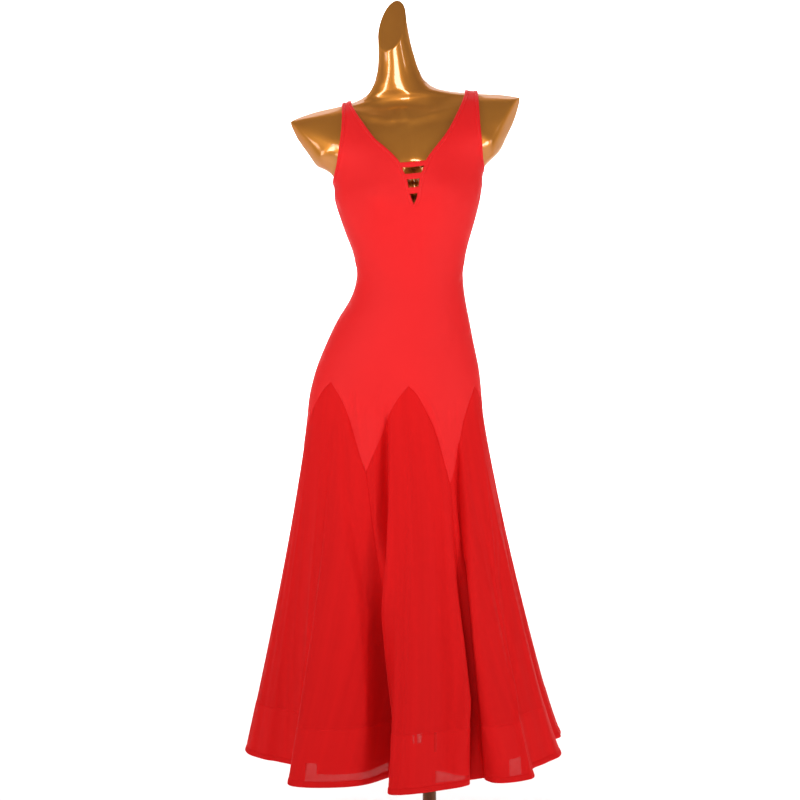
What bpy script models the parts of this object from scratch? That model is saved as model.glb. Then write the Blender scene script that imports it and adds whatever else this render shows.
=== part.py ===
"""Ballroom dance dress worn by a limbless dress form on a round stand.

Metres, +Z up, the front faces -Y, origin on the floor under the middle of the dress.
Every cloth piece is a thin wall cut from one garment surface: rings round the torso
down to the hip, then straight lines from the hip ring to a fluted hem curve.
"""
import math

import bpy
import bmesh
import numpy as np
from mathutils import Matrix, Vector

# ---- driving dimensions ----------------------------------------------------------------
CLOTH = 0.0013           # wall of every cut panel
BAND_CLOTH = 0.0018      # wall of the doubled hem band
SEAM_GAP = 0.0003        # space left between sewn pieces
FORM_GAP = 0.0031        # space between the cloth and the form under it

HEM_HEIGHT = 0.215       # hem above the floor
BAND_HEIGHT = 0.092      # wide band above the hem
EDGE_HEIGHT = 0.010      # narrow rolled edge under the band
HIP_HEIGHT = 0.840       # where the skirt leaves the hip
PEAK_HEIGHT = 0.888      # pointed top of each godet
TIP_HEIGHT = 0.709       # lowest point of the jersey between two godets
UNDERARM = 1.275         # height of the underarm points, before the shoulder tilt
SLOT_DEPTH = 0.0605      # the neck slot ends this far under the underarm line

FORM_BOTTOM = 0.745      # flat underside of the form, hidden in the skirt
BINDING_WIDTH = 0.0060
BINDING_THICK = 0.0010
BINDING_LIFT = 0.0012    # binding above the panel it is sewn to

POLE_X = 0.047
POLE_Y = 0.010
POLE_RADIUS = 0.013
BASE_RADIUS = 0.185
BASE_THICK = 0.012
COLLAR_RADIUS = 0.024
COLLAR_HEIGHT = 0.030
FLANGE_RADIUS = 0.045
FLANGE_THICK = 0.006

# ---- torso sections, from the thigh up ----------------------------------------------------
# height, centre x, centre y, half width, front depth, back depth, roundness
TORSO = np.array([
    (0.735, -0.0160, 0.000, 0.1560, 0.092, 0.114, 2.20),
    (0.804, -0.0170, 0.000, 0.1640, 0.098, 0.122, 2.20),
    (0.860, -0.0178, 0.000, 0.1605, 0.099, 0.120, 2.20),
    (0.916, -0.0140, 0.000, 0.1510, 0.097, 0.108, 2.15),
    (0.972, -0.0084, 0.000, 0.1340, 0.094, 0.094, 2.10),
    (1.010, -0.0028, 0.000, 0.1210, 0.091, 0.084, 2.10),
    (1.047, 0.0047, 0.000, 0.1062, 0.088, 0.078, 2.10),
    (1.075, 0.0080, 0.000, 0.0993, 0.087, 0.077, 2.10),
    (1.103, 0.0094, 0.000, 0.0978, 0.088, 0.079, 2.10),
    (1.141, 0.0094, 0.000, 0.1053, 0.092, 0.085, 2.10),
    (1.178, 0.0084, 0.000, 0.1174, 0.098, 0.092, 2.15),
    (1.215, 0.0075, 0.000, 0.1285, 0.104, 0.099, 2.20),
    (1.244, 0.0062, 0.001, 0.1350, 0.106, 0.103, 2.20),
    (1.272, 0.0065, 0.003, 0.1375, 0.105, 0.104, 2.20),
    (1.301, 0.0065, 0.005, 0.1490, 0.100, 0.103, 2.20),
    (1.335, 0.0065, 0.008, 0.1900, 0.088, 0.096, 2.10),
    (1.370, 0.0065, 0.010, 0.2210, 0.070, 0.080, 1.80),
    (1.397, 0.0065, 0.012, 0.2220, 0.056, 0.064, 1.50),
    (1.412, 0.0065, 0.013, 0.1760, 0.049, 0.056, 1.32),
    (1.421, 0.0065, 0.013, 0.1130, 0.048, 0.054, 1.45),
    (1.431, -0.0040, 0.013, 0.0720, 0.047, 0.052, 1.75),
    (1.447, -0.0108, 0.012, 0.0515, 0.045, 0.048, 2.00),
    (1.465, -0.0131, 0.010, 0.0430, 0.042, 0.043, 2.00),
    (1.485, -0.0152, 0.007, 0.0378, 0.039, 0.038, 2.00),
    (1.520, -0.0200, 0.003, 0.0328, 0.036, 0.033, 2.00),
    (1.562, -0.0246, -0.001, 0.0300, 0.034, 0.031, 2.00),
    (1.645, -0.0330, -0.006, 0.0290, 0.033, 0.030, 2.00),
])
SHOULDER_TILT = 0.0909    # the shoulder line rises to +X by this slope
TILT_START = 0.995         # no tilt under this height
TILT_FULL = 1.275
BUST_RISE = 0.014         # each bust mound stands out by this much
BUST_SIDE = 0.066         # from the middle to a mound
BUST_HEIGHT = 1.233
BUST_SPREAD = 0.042

# ---- hem flutes, counter-clockwise seen from below, bearings from the front towards +X ------
# start bearing, start reach, end bearing, end reach, valley bearing, valley reach
FLUTES = np.array([
    (-87.0, 0.281, -71.5, 0.302, -46.0, 0.250),
    (-37.5, 0.327, -20.0, 0.284, 1.5, 0.207),
    (-5.0, 0.306, 25.0, 0.281, 31.5, 0.262),
    (33.0, 0.296, 45.0, 0.313, 51.5, 0.283),
    (60.0, 0.285, 72.0, 0.291, 83.0, 0.254),
    (92.0, 0.289, 104.0, 0.290, 117.0, 0.245),
    (124.0, 0.292, 135.0, 0.296, 143.0, 0.250),
    (149.0, 0.286, 159.0, 0.290, 167.0, 0.240),
    (173.0, 0.291, 183.0, 0.288, 190.0, 0.246),
    (195.0, 0.284, 205.0, 0.292, 213.0, 0.238),
    (219.0, 0.288, 229.0, 0.297, 237.0, 0.252),
    (242.0, 0.293, 254.0, 0.292, 263.0, 0.256),
])
SKIRT_CENTRE_X = 0.003
SKIRT_WIDTH = 0.286
SKIRT_FRONT = 0.284
SKIRT_BACK = 0.276
FLARE_POWER = 1.14       # the skirt's mean shape opens a little faster near the hem
FOLD_POWER = 1.7         # the flutes start at nothing and deepen to the hem
KICK_REACH = 0.011       # the hem at the right side kicks out this much further
KICK_BEARING = 84.0
KICK_SPREAD = 26.0
KICK_POWER = 11.0        # only over the last part of the fall
HEM_SAMPLES = 60         # fine points between two hem knots

# ---- godets: each runs from one jersey tip to the next --------------------------------------
# name, tip before, peak, tip after, arch slope before, arch slope after, flutes, columns a half
GODETS = (
    ("front_left", -98.0, -48.0, -20.5, 0.60, 0.60, 2, 8),
    ("front", -20.5, 7.5, 34.5, 0.60, 0.60, 1, 6),
    ("front_right", 34.5, 64.0, 113.0, 0.60, 0.45, 3, 8),
    ("back_right", 113.0, 142.0, 164.0, 0.60, 0.60, 2, 6),
    ("back", 164.0, 186.0, 208.0, 0.60, 0.60, 2, 6),
    ("back_left", 208.0, 231.0, 262.0, 0.60, 0.60, 2, 6),
)
SIDE_SEAMS = (-90.0, 90.0)

# ---- neck and armholes ---------------------------------------------------------------------
# "turn" runs from -1 at the foot of the neck slot over 0 at the underarm line and 1 at the
# top of the shoulder to 2 at the underarm line of the back.
# turn, middle of the neck, half its width
NECK = np.array([
    (-1.00, 0.0155, 0.0000),
    (-0.80, 0.0155, 0.0053),
    (-0.57, 0.0148, 0.0082),
    (-0.28, 0.0145, 0.0115),
    (-0.07, 0.0140, 0.0150),
    (0.10, 0.0137, 0.0235),
    (0.20, 0.0130, 0.0340),
    (0.33, 0.0118, 0.0500),
    (0.44, 0.0102, 0.0635),
    (0.64, 0.0086, 0.0812),
    (0.88, 0.0060, 0.1020),
    (1.00, 0.0055, 0.1060),
])
# turn, middle between the armholes, half the distance between them
ARMHOLES = np.array([
    (0.00, 0.0065, 0.1381),
    (0.15, 0.0067, 0.1372),
    (0.34, 0.0085, 0.1305),
    (0.55, 0.0093, 0.1262),
    (0.75, 0.0098, 0.1243),
    (1.00, 0.0088, 0.1243),
    (1.20, 0.0085, 0.1250),
    (1.50, 0.0078, 0.1275),
    (1.80, 0.0068, 0.1345),
    (2.00, 0.0065, 0.1381),
])
BACK_NECK_TURN = 1.80     # middle of the back neckline
SHOULDER_SEAM = 0.97
# name, middle turn, height of the bar across the neck slot, how far it stops from the neckline
BARS = (
    ("neck_bar_1", 0.115, 0.0145, 0.0009),
    ("neck_bar_2", -0.16, 0.0125, 0.0000),
    ("neck_bar_3", -0.58, 0.0155, 0.0009),
)


# ---- garment surface ------------------------------------------------------------------------
def smooth_rows(table, heights):
    """Catmull-Rom values of every column of a table whose first column rises."""
    knots = table[:, 0]
    values = table[:, 1:]
    slopes = np.empty_like(values)
    slopes[1:-1] = (values[2:] - values[:-2]) / (knots[2:] - knots[:-2])[:, None]
    slopes[0] = (values[1] - values[0]) / (knots[1] - knots[0])
    slopes[-1] = (values[-1] - values[-2]) / (knots[-1] - knots[-2])
    h = np.clip(heights, knots[0], knots[-1])
    i = np.clip(np.searchsorted(knots, h, side="right") - 1, 0, len(knots) - 2)
    span = knots[i + 1] - knots[i]
    t = ((h - knots[i]) / span)[..., None]
    span = span[..., None]
    a, b = values[i], values[i + 1]
    ma, mb = slopes[i] * span, slopes[i + 1] * span
    return (a * (2 * t**3 - 3 * t**2 + 1) + ma * (t**3 - 2 * t**2 + t)
            + b * (3 * t**2 - 2 * t**3) + mb * (t**3 - t**2))


def tilt_at(height):
    """Slope of the ring at this height: level at the hip, full at the shoulders."""
    t = np.clip((height - TILT_START) / (TILT_FULL - TILT_START), 0, 1)
    return SHOULDER_TILT * t * t * (3 - 2 * t)


def bust(x_off, height):
    """Extra front depth of the two bust mounds."""
    across = np.exp(-((np.abs(x_off) - BUST_SIDE) / BUST_SPREAD) ** 2)
    upward = np.exp(-((height - BUST_HEIGHT) / BUST_SPREAD) ** 2)
    return BUST_RISE * across * upward


def ring_point(bearing, height):
    """Point on the torso ring at this height; bearing in degrees from the front."""
    cx, cy, half, front, back, power = np.moveaxis(smooth_rows(TORSO, height), -1, 0)
    s = np.sin(np.radians(bearing))
    c = np.cos(np.radians(bearing))
    x_off = half * np.sign(s) * np.abs(s) ** (2 / power)
    depth = np.where(c > 0, front, back)
    y = cy - depth * np.sign(c) * np.abs(c) ** (2 / power)
    y = y - bust(x_off, height) * np.maximum(c, 0)
    return np.stack([cx + x_off, y, height + tilt_at(height) * x_off], axis=-1)


def torso_field(x_off, y, height):
    """Negative inside the torso, zero on it; x is measured from the ring's centre."""
    cx, cy, half, front, back, power = np.moveaxis(smooth_rows(TORSO, height), -1, 0)
    across = np.abs(x_off) / half
    facing = np.sqrt(np.maximum(1 - np.minimum(across, 1) ** power, 0))
    y_ring = np.where(y < cy, y + bust(x_off, height) * facing, y) - cy
    deep = np.abs(y_ring) / np.where(y_ring < 0, front, back)
    return across**power + deep**power - 1


def yoke_point(x, turn):
    """Point over the shoulder: x across, turn from 0 (front, underarm line) over the
    shoulder at 1 to 2 (back, underarm line); below 0 and above 2 it runs down the ring."""
    x = np.asarray(x, float)
    turn = np.asarray(turn, float)
    x, turn = np.broadcast_arrays(x, turn)
    angle = np.radians(90) * np.clip(turn, 0, 2)
    centre = smooth_rows(TORSO, np.full(x.shape, UNDERARM))
    cx, cy = centre[..., 0], centre[..., 1]
    down = np.where(turn < 0, -turn, np.where(turn > 2, turn - 2, 0)) * SLOT_DEPTH
    base = UNDERARM - down
    near = np.zeros(x.shape)
    far = np.full(x.shape, 0.25)
    for _ in range(46):
        reach = (near + far) / 2
        h = base + reach * np.sin(angle)
        y = cy - reach * np.cos(angle)
        cx_h = smooth_rows(TORSO, h)[..., 0]
        inside = torso_field(x - cx_h, y, h) < 0
        near = np.where(inside, reach, near)
        far = np.where(inside, far, reach)
    h = base + near * np.sin(angle)
    y = cy - near * np.cos(angle)
    cx_h = smooth_rows(TORSO, h)[..., 0]
    return np.stack([x, y, h + tilt_at(h) * (x - cx_h)], axis=-1)


def field_at(points):
    """torso_field at world points; the ring's height is found by undoing the tilt."""
    x, y, z = np.moveaxis(points, -1, 0)
    h = z
    for _ in range(6):
        cx = smooth_rows(TORSO, h)[..., 0]
        h = z - tilt_at(h) * (x - cx)
    cx = smooth_rows(TORSO, h)[..., 0]
    return torso_field(x - cx, y, h)


def torso_gradient(points):
    step = 0.0004
    grads = []
    for axis in np.eye(3):
        ahead = field_at(points + axis * step)
        behind = field_at(points - axis * step)
        grads.append((ahead - behind) / (2 * step))
    return np.stack(grads, axis=-1)


def torso_normal(points):
    grad = torso_gradient(points)
    return grad / np.linalg.norm(grad, axis=-1, keepdims=True)


def on_torso(points):
    """Nearest points on the torso, by three Newton steps along the gradient."""
    for _ in range(4):
        grad = torso_gradient(points)
        value = field_at(points)
        points = points - grad * (value / np.sum(grad * grad, axis=-1))[..., None]
    return points


def hem_loop():
    """Closed centripetal Catmull-Rom curve through the flutes, finely sampled."""
    knots = []
    for row in FLUTES:
        for bearing, reach in row.reshape(3, 2):
            turn = math.radians(bearing)
            knots.append((reach * math.sin(turn), -reach * math.cos(turn)))
    knots = np.array(knots)
    fine = []
    count = len(knots)
    for i in range(count):
        p0, p1, p2, p3 = (knots[(i + j - 1) % count] for j in range(4))
        d1, d2, d3 = (np.linalg.norm(b - a) ** 0.5 for a, b in ((p0, p1), (p1, p2), (p2, p3)))
        m1 = (p1 - p0) / d1 - (p2 - p0) / (d1 + d2) + (p2 - p1) / d2
        m2 = (p2 - p1) / d2 - (p3 - p1) / (d2 + d3) + (p3 - p2) / d3
        for t in np.linspace(0, 1, HEM_SAMPLES, endpoint=False):
            fine.append(p1 * (2 * t**3 - 3 * t**2 + 1) + m1 * d2 * (t**3 - 2 * t**2 + t)
                        + p2 * (3 * t**2 - 2 * t**3) + m2 * d2 * (t**3 - t**2))
    fine.append(fine[0])
    return np.array(fine)


HEM_FINE = hem_loop()
HEM_ARC = np.concatenate([[0], np.cumsum(np.linalg.norm(np.diff(HEM_FINE, axis=0), axis=1))])


def godet_seams():
    """For each godet: where its two long seams meet the hem, as arc length and bearing."""
    per_flute = 3 * HEM_SAMPLES
    last_valley = len(FLUTES) * per_flute - HEM_SAMPLES
    arcs = [HEM_ARC[last_valley] - HEM_ARC[-1]]
    bearings = [FLUTES[-1, 4] - 360]
    flute = 0
    for row in GODETS:
        flute += row[6]
        arcs.append(HEM_ARC[flute * per_flute - HEM_SAMPLES])
        bearings.append(FLUTES[flute - 1, 4])
    return np.array(arcs), np.array(bearings)


SEAM_ARC, SEAM_BEARING = godet_seams()


def godet_share(tau):
    """Share of a half godet's hem that lies inside tau, the same share of its arch."""
    return 0.82 * tau + 0.18 * tau**6


def godet_place(bearing):
    """Index of the godet at a hip bearing, and tau from -1 (tip) over 0 (peak) to 1 (tip)."""
    first = GODETS[0][1]
    turn = (np.asarray(bearing, float) - first) % 360 + first
    index = np.zeros(turn.shape, int)
    tau = np.zeros(turn.shape)
    for i, row in enumerate(GODETS):
        here = (turn >= row[1]) & (turn <= row[3])
        before = -(row[2] - turn) / (row[2] - row[1])
        after = (turn - row[2]) / (row[3] - row[2])
        index = np.where(here, i, index)
        tau = np.where(here, np.where(turn < row[2], before, after), tau)
    return index, tau


def arch_height(bearing):
    """Height of the seam between jersey and godets at a hip bearing."""
    index, tau = godet_place(bearing)
    slope = np.where(tau < 0, np.array([g[4] for g in GODETS])[index],
                     np.array([g[5] for g in GODETS])[index])
    t = np.abs(tau)
    return PEAK_HEIGHT - (PEAK_HEIGHT - TIP_HEIGHT) * (slope * t + (1 - slope) * t**8)


def hem_place(bearing):
    """Hem arc length and mean bearing that the garment's line from this hip bearing meets."""
    index, tau = godet_place(bearing)
    share = 0.5 + 0.5 * np.sign(tau) * godet_share(np.abs(tau))
    arc = SEAM_ARC[index] + (SEAM_ARC[index + 1] - SEAM_ARC[index]) * share
    mean = SEAM_BEARING[index] + (SEAM_BEARING[index + 1] - SEAM_BEARING[index]) * share
    return arc, mean


def garment_point(bearing, height):
    """Point on the garment surface: torso rings above the hip, fluted skirt below it."""
    bearing, height = np.broadcast_arrays(np.asarray(bearing, float), np.asarray(height, float))
    torso = ring_point(bearing, np.maximum(height, HIP_HEIGHT))
    fall = np.clip((HIP_HEIGHT - height) / (HIP_HEIGHT - HEM_HEIGHT), 0, None)
    arc, mean = hem_place(bearing)
    arc = arc % HEM_ARC[-1]
    hem = np.stack([np.interp(arc, HEM_ARC, HEM_FINE[:, i]) for i in (0, 1)], axis=-1)
    turn = np.radians(mean)
    deep = np.where(np.cos(turn) > 0, SKIRT_FRONT, SKIRT_BACK)
    plain = np.stack([SKIRT_CENTRE_X + SKIRT_WIDTH * np.sin(turn), -deep * np.cos(turn)], axis=-1)
    flare = (fall**FLARE_POWER)[..., None]
    fold = (fall**FOLD_POWER)[..., None]
    flat = torso[..., :2] + (plain - torso[..., :2]) * flare + (hem - plain) * fold
    kick = KICK_REACH * np.exp(-((mean - KICK_BEARING) / KICK_SPREAD) ** 2) * fall**KICK_POWER
    flat = flat + np.stack([np.sin(turn), -np.cos(turn)], axis=-1) * kick[..., None]
    z = np.where(height < HIP_HEIGHT, height, torso[..., 2])
    return np.concatenate([flat, z[..., None]], axis=-1)


def garment_normal(bearing, height):
    """Outward unit normal of the garment surface, from central differences."""
    turn = 0.45
    rise = 0.0008
    around = garment_point(bearing + turn, height) - garment_point(bearing - turn, height)
    upward = garment_point(bearing, height + rise) - garment_point(bearing, height - rise)
    normal = np.cross(around, upward)
    return normal / np.linalg.norm(normal, axis=-1, keepdims=True)


# ---- collections, materials and meshes -------------------------------------------------------
for old in list(bpy.data.objects):
    bpy.data.objects.remove(old, do_unlink=True)

dress = bpy.data.collections.new("ballroom_dress")
cutters = bpy.data.collections.new("cutters")
bpy.context.scene.collection.children.link(dress)
bpy.context.scene.collection.children.link(cutters)


def material(name, colour, roughness, metallic=0.0):
    made = bpy.data.materials.new(name)
    made.use_nodes = True
    shader = made.node_tree.nodes["Principled BSDF"]
    shader.inputs["Base Color"].default_value = (*colour, 1.0)
    shader.inputs["Roughness"].default_value = roughness
    shader.inputs["Metallic"].default_value = metallic
    return made


JERSEY = material("jersey", (0.87, 0.028, 0.032), 0.55)
GEORGETTE = material("georgette", (0.62, 0.012, 0.014), 0.70)
GOLD = material("gold_form", (0.62, 0.38, 0.11), 0.28, 0.9)
BRONZE = material("bronze_stand", (0.16, 0.07, 0.035), 0.35, 0.9)


def add_object(name, vertices, faces, slot):
    """One closed, smooth-shaded solid from points and faces."""
    mesh = bpy.data.meshes.new(name)
    mesh.from_pydata([tuple(map(float, v)) for v in vertices], [], faces)
    mesh.materials.append(slot)
    made = bpy.data.objects.new(name, mesh)
    dress.objects.link(made)
    shape = bmesh.new()
    shape.from_mesh(mesh)
    bmesh.ops.recalc_face_normals(shape, faces=shape.faces)
    bmesh.ops.triangulate(shape, faces=shape.faces)
    shape.to_mesh(mesh)
    shape.free()
    for face in mesh.polygons:
        face.use_smooth = True
    mesh.set_sharp_from_angle(angle=math.radians(50))
    return made


def wall(name, points, normals, quads, slot, thickness=CLOTH, lift=0.0):
    """Thin closed wall: the points moved out along the garment's own normals, so that
    neighbouring panels keep their seam gap on both faces; rims close the edges."""
    count = len(points)
    inner = points + normals * lift
    outer = points + normals * (lift + thickness)
    edges = {}
    for quad in quads:
        for a, b in zip(quad, quad[1:] + quad[:1]):
            edges[(a, b)] = edges.get((a, b), 0) + 1
    faces = [tuple(i + count for i in quad) for quad in quads]
    faces += [tuple(reversed(quad)) for quad in quads]
    for a, b in edges:
        if (b, a) not in edges:
            faces.append((b, a, a + count, b + count))
    return add_object(name, np.concatenate([inner, outer]), faces, slot)


def grid_quads(rows, columns, start=0, closed=False):
    """Quads of a point grid stored row by row, the rows rising and the columns to +X."""
    quads = []
    for r in range(rows - 1):
        for c in range(columns if closed else columns - 1):
            d = (c + 1) % columns
            a, b = start + r * columns + c, start + r * columns + d
            quads.append((a, b, b + columns, a + columns))
    return quads


# ---- columns round the hip, shared by the jersey and the godets ----------------------------
def godet_columns(row):
    """Hip bearings of a godet's columns, evenly spaced along its hem, side seams included."""
    fine = np.linspace(0, 1, 400)
    taus = np.interp(np.linspace(0, 1, row[7] + 1), godet_share(fine), fine)
    before = row[2] - taus[::-1] * (row[2] - row[1])
    after = row[2] + taus * (row[3] - row[2])
    columns = list(before) + list(after[1:])
    for seam in SIDE_SEAMS:
        for turn in (seam, seam + 360):
            if row[1] < turn < row[3]:
                nearest = int(np.argmin([abs(c - turn) for c in columns]))
                columns[nearest] = turn
    return np.array(columns)


def hip_columns(low, high):
    """Every godet column whose bearing lies from low to high, once each."""
    found = set()
    for row in GODETS:
        for column in godet_columns(row):
            for turn in (column - 360, column, column + 360):
                if low - 1e-6 <= turn <= high + 1e-6:
                    found.add(round(float(turn), 6))
    return np.array(sorted(found))


def arch_gap(bearing):
    """Half the seam gap, measured upright, so that it holds across the slanting seam."""
    step = 0.25
    rise = arch_height(bearing + step) - arch_height(bearing - step)
    along = garment_point(bearing + step, PEAK_HEIGHT) - garment_point(bearing - step, PEAK_HEIGHT)
    slope = rise / np.linalg.norm(along, axis=-1)
    index, tau = godet_place(bearing)
    edge = np.where(np.abs(tau) > 0.995, 3.0, np.where(np.abs(tau) < 0.005, 1.5, 1.0))
    return SEAM_GAP / 2 * np.minimum(np.sqrt(1 + slope**2) * edge, 5.0)


def pull_apart(points, bearings, heights, side):
    """Moves a seam edge half the gap along the garment's horizontal direction."""
    step = 0.3
    around = garment_point(bearings + step, heights) - garment_point(bearings - step, heights)
    around = around / np.linalg.norm(around, axis=-1, keepdims=True)
    return points - around * side * SEAM_GAP / 2


# ---- bodice panels ----------------------------------------------------------------------------
# share of the way from the arch up to the foot of the slot
LOWER_SHARES = (0.0, 0.11, 0.22, 0.34, 0.46, 0.57, 0.68, 0.79, 0.90, 1.0)
SLOT_TURNS = (-0.66, -0.33, 0.0)
FRONT_TURNS = (0.06, 0.14, 0.26, 0.39, 0.52, 0.65, 0.75, 0.83, 0.90, SHOULDER_SEAM)
BACK_SHARES = (0.05, 0.13, 0.25, 0.38, 0.52, 0.65, 0.76, 0.85, 0.93, 1.0)
STRAP_COLUMNS = 4
SIDE_GAP = 0.09           # degrees, half the gap at a side seam
SHOULDER_GAP = 0.0008     # turns, half the gap at a shoulder seam


def mirror_edge(table, turn, side):
    """x of a finished edge at this turn; side is -1 or 1."""
    middle, half = np.moveaxis(smooth_rows(table, np.asarray(turn, float)), -1, 0)
    return middle + side * half


def ring_bearing(x, height):
    """Bearing of the front ring point with this x."""
    cx, cy, half, front, back, power = smooth_rows(TORSO, np.asarray(height, float))
    share = np.clip((x - cx) / half, -1, 1)
    return float(np.degrees(np.arcsin(np.sign(share) * np.abs(share) ** (power / 2))))


def lower_row(bearings, height):
    return garment_point(bearings, height), garment_normal(bearings, height)


def upper_row(xs, turns):
    points = yoke_point(xs, turns)
    return points, torso_normal(points)


def side_columns(low, high):
    """Hip columns from side seam to side seam, the outer two pulled off the seams."""
    columns = hip_columns(low, high)
    columns[0] += SIDE_GAP
    columns[-1] -= SIDE_GAP
    return columns


def bodice_front():
    """Front jersey: zigzag hem, side seams, slot, V-neck and straps to the shoulder."""
    columns = side_columns(*SIDE_SEAMS)
    wide = len(columns)
    centre = int(np.argmin(np.abs(columns - GODETS[1][2])))
    foot = UNDERARM - SLOT_DEPTH
    middle = ring_bearing(NECK[0, 1], foot)
    even = np.concatenate([np.linspace(columns[0], middle, centre + 1),
                           np.linspace(middle, columns[-1], wide - centre)[1:]])
    low = arch_height(columns) + arch_gap(columns)
    rows = []
    for share in LOWER_SHARES:
        rows.append(lower_row(columns + (even - columns) * share, low + (foot - low) * share))
    quads = grid_quads(len(rows), wide)
    total = len(rows) * wide
    top = total - wide
    for side, first, count in ((-1, top, centre + 1), (1, top + centre, wide - centre)):
        half = []
        for turn in SLOT_TURNS:
            height = UNDERARM + turn * SLOT_DEPTH
            slot = ring_bearing(mirror_edge(NECK, turn, side), height)
            ends = (columns[0], slot) if side < 0 else (slot, columns[-1])
            half.append(lower_row(np.linspace(*ends, count), height))
        xs = half[-1][0][:, 0]
        shares = (xs - xs[0]) / (xs[-1] - xs[0])
        for turn in FRONT_TURNS:
            hole = mirror_edge(ARMHOLES, turn, side)
            neck = mirror_edge(NECK, turn, side)
            start, end = (hole, neck) if side < 0 else (neck, hole)
            turn = min(turn, SHOULDER_SEAM - SHOULDER_GAP)
            half.append(upper_row(start + (end - start) * shares, turn))
        for c in range(count - 1):
            quads.append((first + c, first + c + 1, total + c + 1, total + c))
        quads += grid_quads(len(half), count, total)
        rows += half
        total += len(half) * count
    points = np.concatenate([row[0] for row in rows])
    normals = np.concatenate([row[1] for row in rows])
    return wall("bodice_front", points, normals, quads, JERSEY)


def back_neck(turn_angle):
    """x and turn of the back neckline; the angle runs 0 (right strap) to 180 degrees."""
    middle, half = smooth_rows(NECK, np.asarray(1.0))
    x = middle + half * np.cos(turn_angle)
    return x, SHOULDER_SEAM + (BACK_NECK_TURN - SHOULDER_SEAM) * np.sin(turn_angle)


def bodice_back():
    """Back jersey: zigzag hem, side seams, scooped neck and straps to the shoulder."""
    columns = side_columns(SIDE_SEAMS[1], SIDE_SEAMS[0] + 360)
    wide = len(columns)
    even = np.linspace(columns[0], columns[-1], wide)
    low = arch_height(columns) + arch_gap(columns)
    rows = []
    for share in LOWER_SHARES:
        rows.append(lower_row(columns + (even - columns) * share,
                              low + (UNDERARM - low) * share))
    strap = np.arange(STRAP_COLUMNS + 1) / STRAP_COLUMNS
    seam = SHOULDER_SEAM + SHOULDER_GAP
    scoop_x, scoop_turn = back_neck(np.linspace(0, np.pi, wide - 2 * STRAP_COLUMNS))
    right = [mirror_edge(ARMHOLES, seam, 1), scoop_x[0]]
    left = [scoop_x[-1], mirror_edge(ARMHOLES, seam, -1)]
    top_x = np.concatenate([np.interp(strap[:-1], (0, 1), right), scoop_x,
                            np.interp(strap[1:], (0, 1), left)])
    flat = np.full(STRAP_COLUMNS, seam)
    top_turn = np.concatenate([flat, np.maximum(scoop_turn, seam), flat])
    base_x = rows[-1][0][:, 0]
    across = np.abs(np.linspace(-1, 1, wide))
    sides = np.sign(np.linspace(1, -1, wide))
    for share in BACK_SHARES:
        turns = 2 + (top_turn - 2) * share
        xs = base_x + (top_x - base_x) * share
        for side, column in ((1, 0), (-1, -1)):
            bend = mirror_edge(ARMHOLES, turns[column], side) - xs[column]
            xs = xs + bend * np.where(sides == side, across**2, 0)
        rows.append(upper_row(xs, turns))
    points = np.concatenate([row[0] for row in rows])
    normals = np.concatenate([row[1] for row in rows])
    return wall("bodice_back", points, normals, grid_quads(len(rows), wide), JERSEY)


# ---- bindings and neck bars ----------------------------------------------------------------------
def binding(name, path, width=BINDING_WIDTH):
    """Folded strip sewn over a panel's edge: a closed path on the torso, the strip lying
    on the panel to its left, seen from outside."""
    path = np.array(path)
    ahead = np.roll(path, -1, axis=0) - path
    ahead = ahead / np.linalg.norm(ahead, axis=1, keepdims=True)
    behind = np.roll(ahead, 1, axis=0)
    along = ahead + behind
    along = along / np.linalg.norm(along, axis=1, keepdims=True)
    normals = torso_normal(path)
    inward = np.cross(normals, along)
    inward = inward / np.linalg.norm(inward, axis=1, keepdims=True)
    mitre = np.clip(1 / np.abs(np.sum(np.cross(normals, ahead) * inward, axis=1)), 1, 2)
    base = CLOTH + BINDING_LIFT
    profile = ((0.0, 0.0), (0.0, 0.7), (0.5, 1.0), (1.0, 0.7), (1.0, 0.0))
    rings = []
    for share, height in profile:
        spot = on_torso(path + inward * (width * share * mitre)[:, None])
        rings.append(spot + torso_normal(spot) * (base + BINDING_THICK * height))
    points = np.stack(rings, axis=1).reshape(-1, 3)
    size = len(profile)
    count = len(path)
    faces = []
    for i in range(count):
        j = (i + 1) % count
        for k in range(size):
            m = (k + 1) % size
            faces.append((i * size + k, i * size + m, j * size + m, j * size + k))
    return add_object(name, points, faces, JERSEY)


def even_path(points, count):
    """The same closed path with its points evenly spaced, the first one kept."""
    closed = np.concatenate([points, points[:1]])
    run = np.concatenate([[0], np.cumsum(np.linalg.norm(np.diff(closed, axis=0), axis=1))])
    stops = np.linspace(0, run[-1], count, endpoint=False)
    return np.stack([np.interp(stops, run, closed[:, i]) for i in range(3)], axis=-1)


def neck_path():
    """Finished neck edge, from the slot's foot up the left side and round the back."""
    turns = np.linspace(-0.95, 0.94, 60)
    left = [(mirror_edge(NECK, t, -1), t) for t in turns]
    right = [(mirror_edge(NECK, t, 1), t) for t in turns[::-1]]
    back = [back_neck(a) for a in np.radians(np.linspace(180, 0, 120))]
    route = [(NECK[0, 1], -1.0)] + left + back + right
    xs, turns = np.array(route, float).T
    return even_path(yoke_point(xs, turns), 76)


def armhole_path(side):
    """Finished armhole edge, from the underarm up the front and down the back."""
    turns = 1 - np.cos(np.radians(np.linspace(0, 180, 181)[1:-1]))
    loop = yoke_point(mirror_edge(ARMHOLES, turns, side), turns)
    foot = ring_point(np.array([90.0 * side]), np.array([UNDERARM]))
    path = even_path(np.concatenate([foot, loop]), 36)
    return path if side > 0 else path[::-1]


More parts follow.
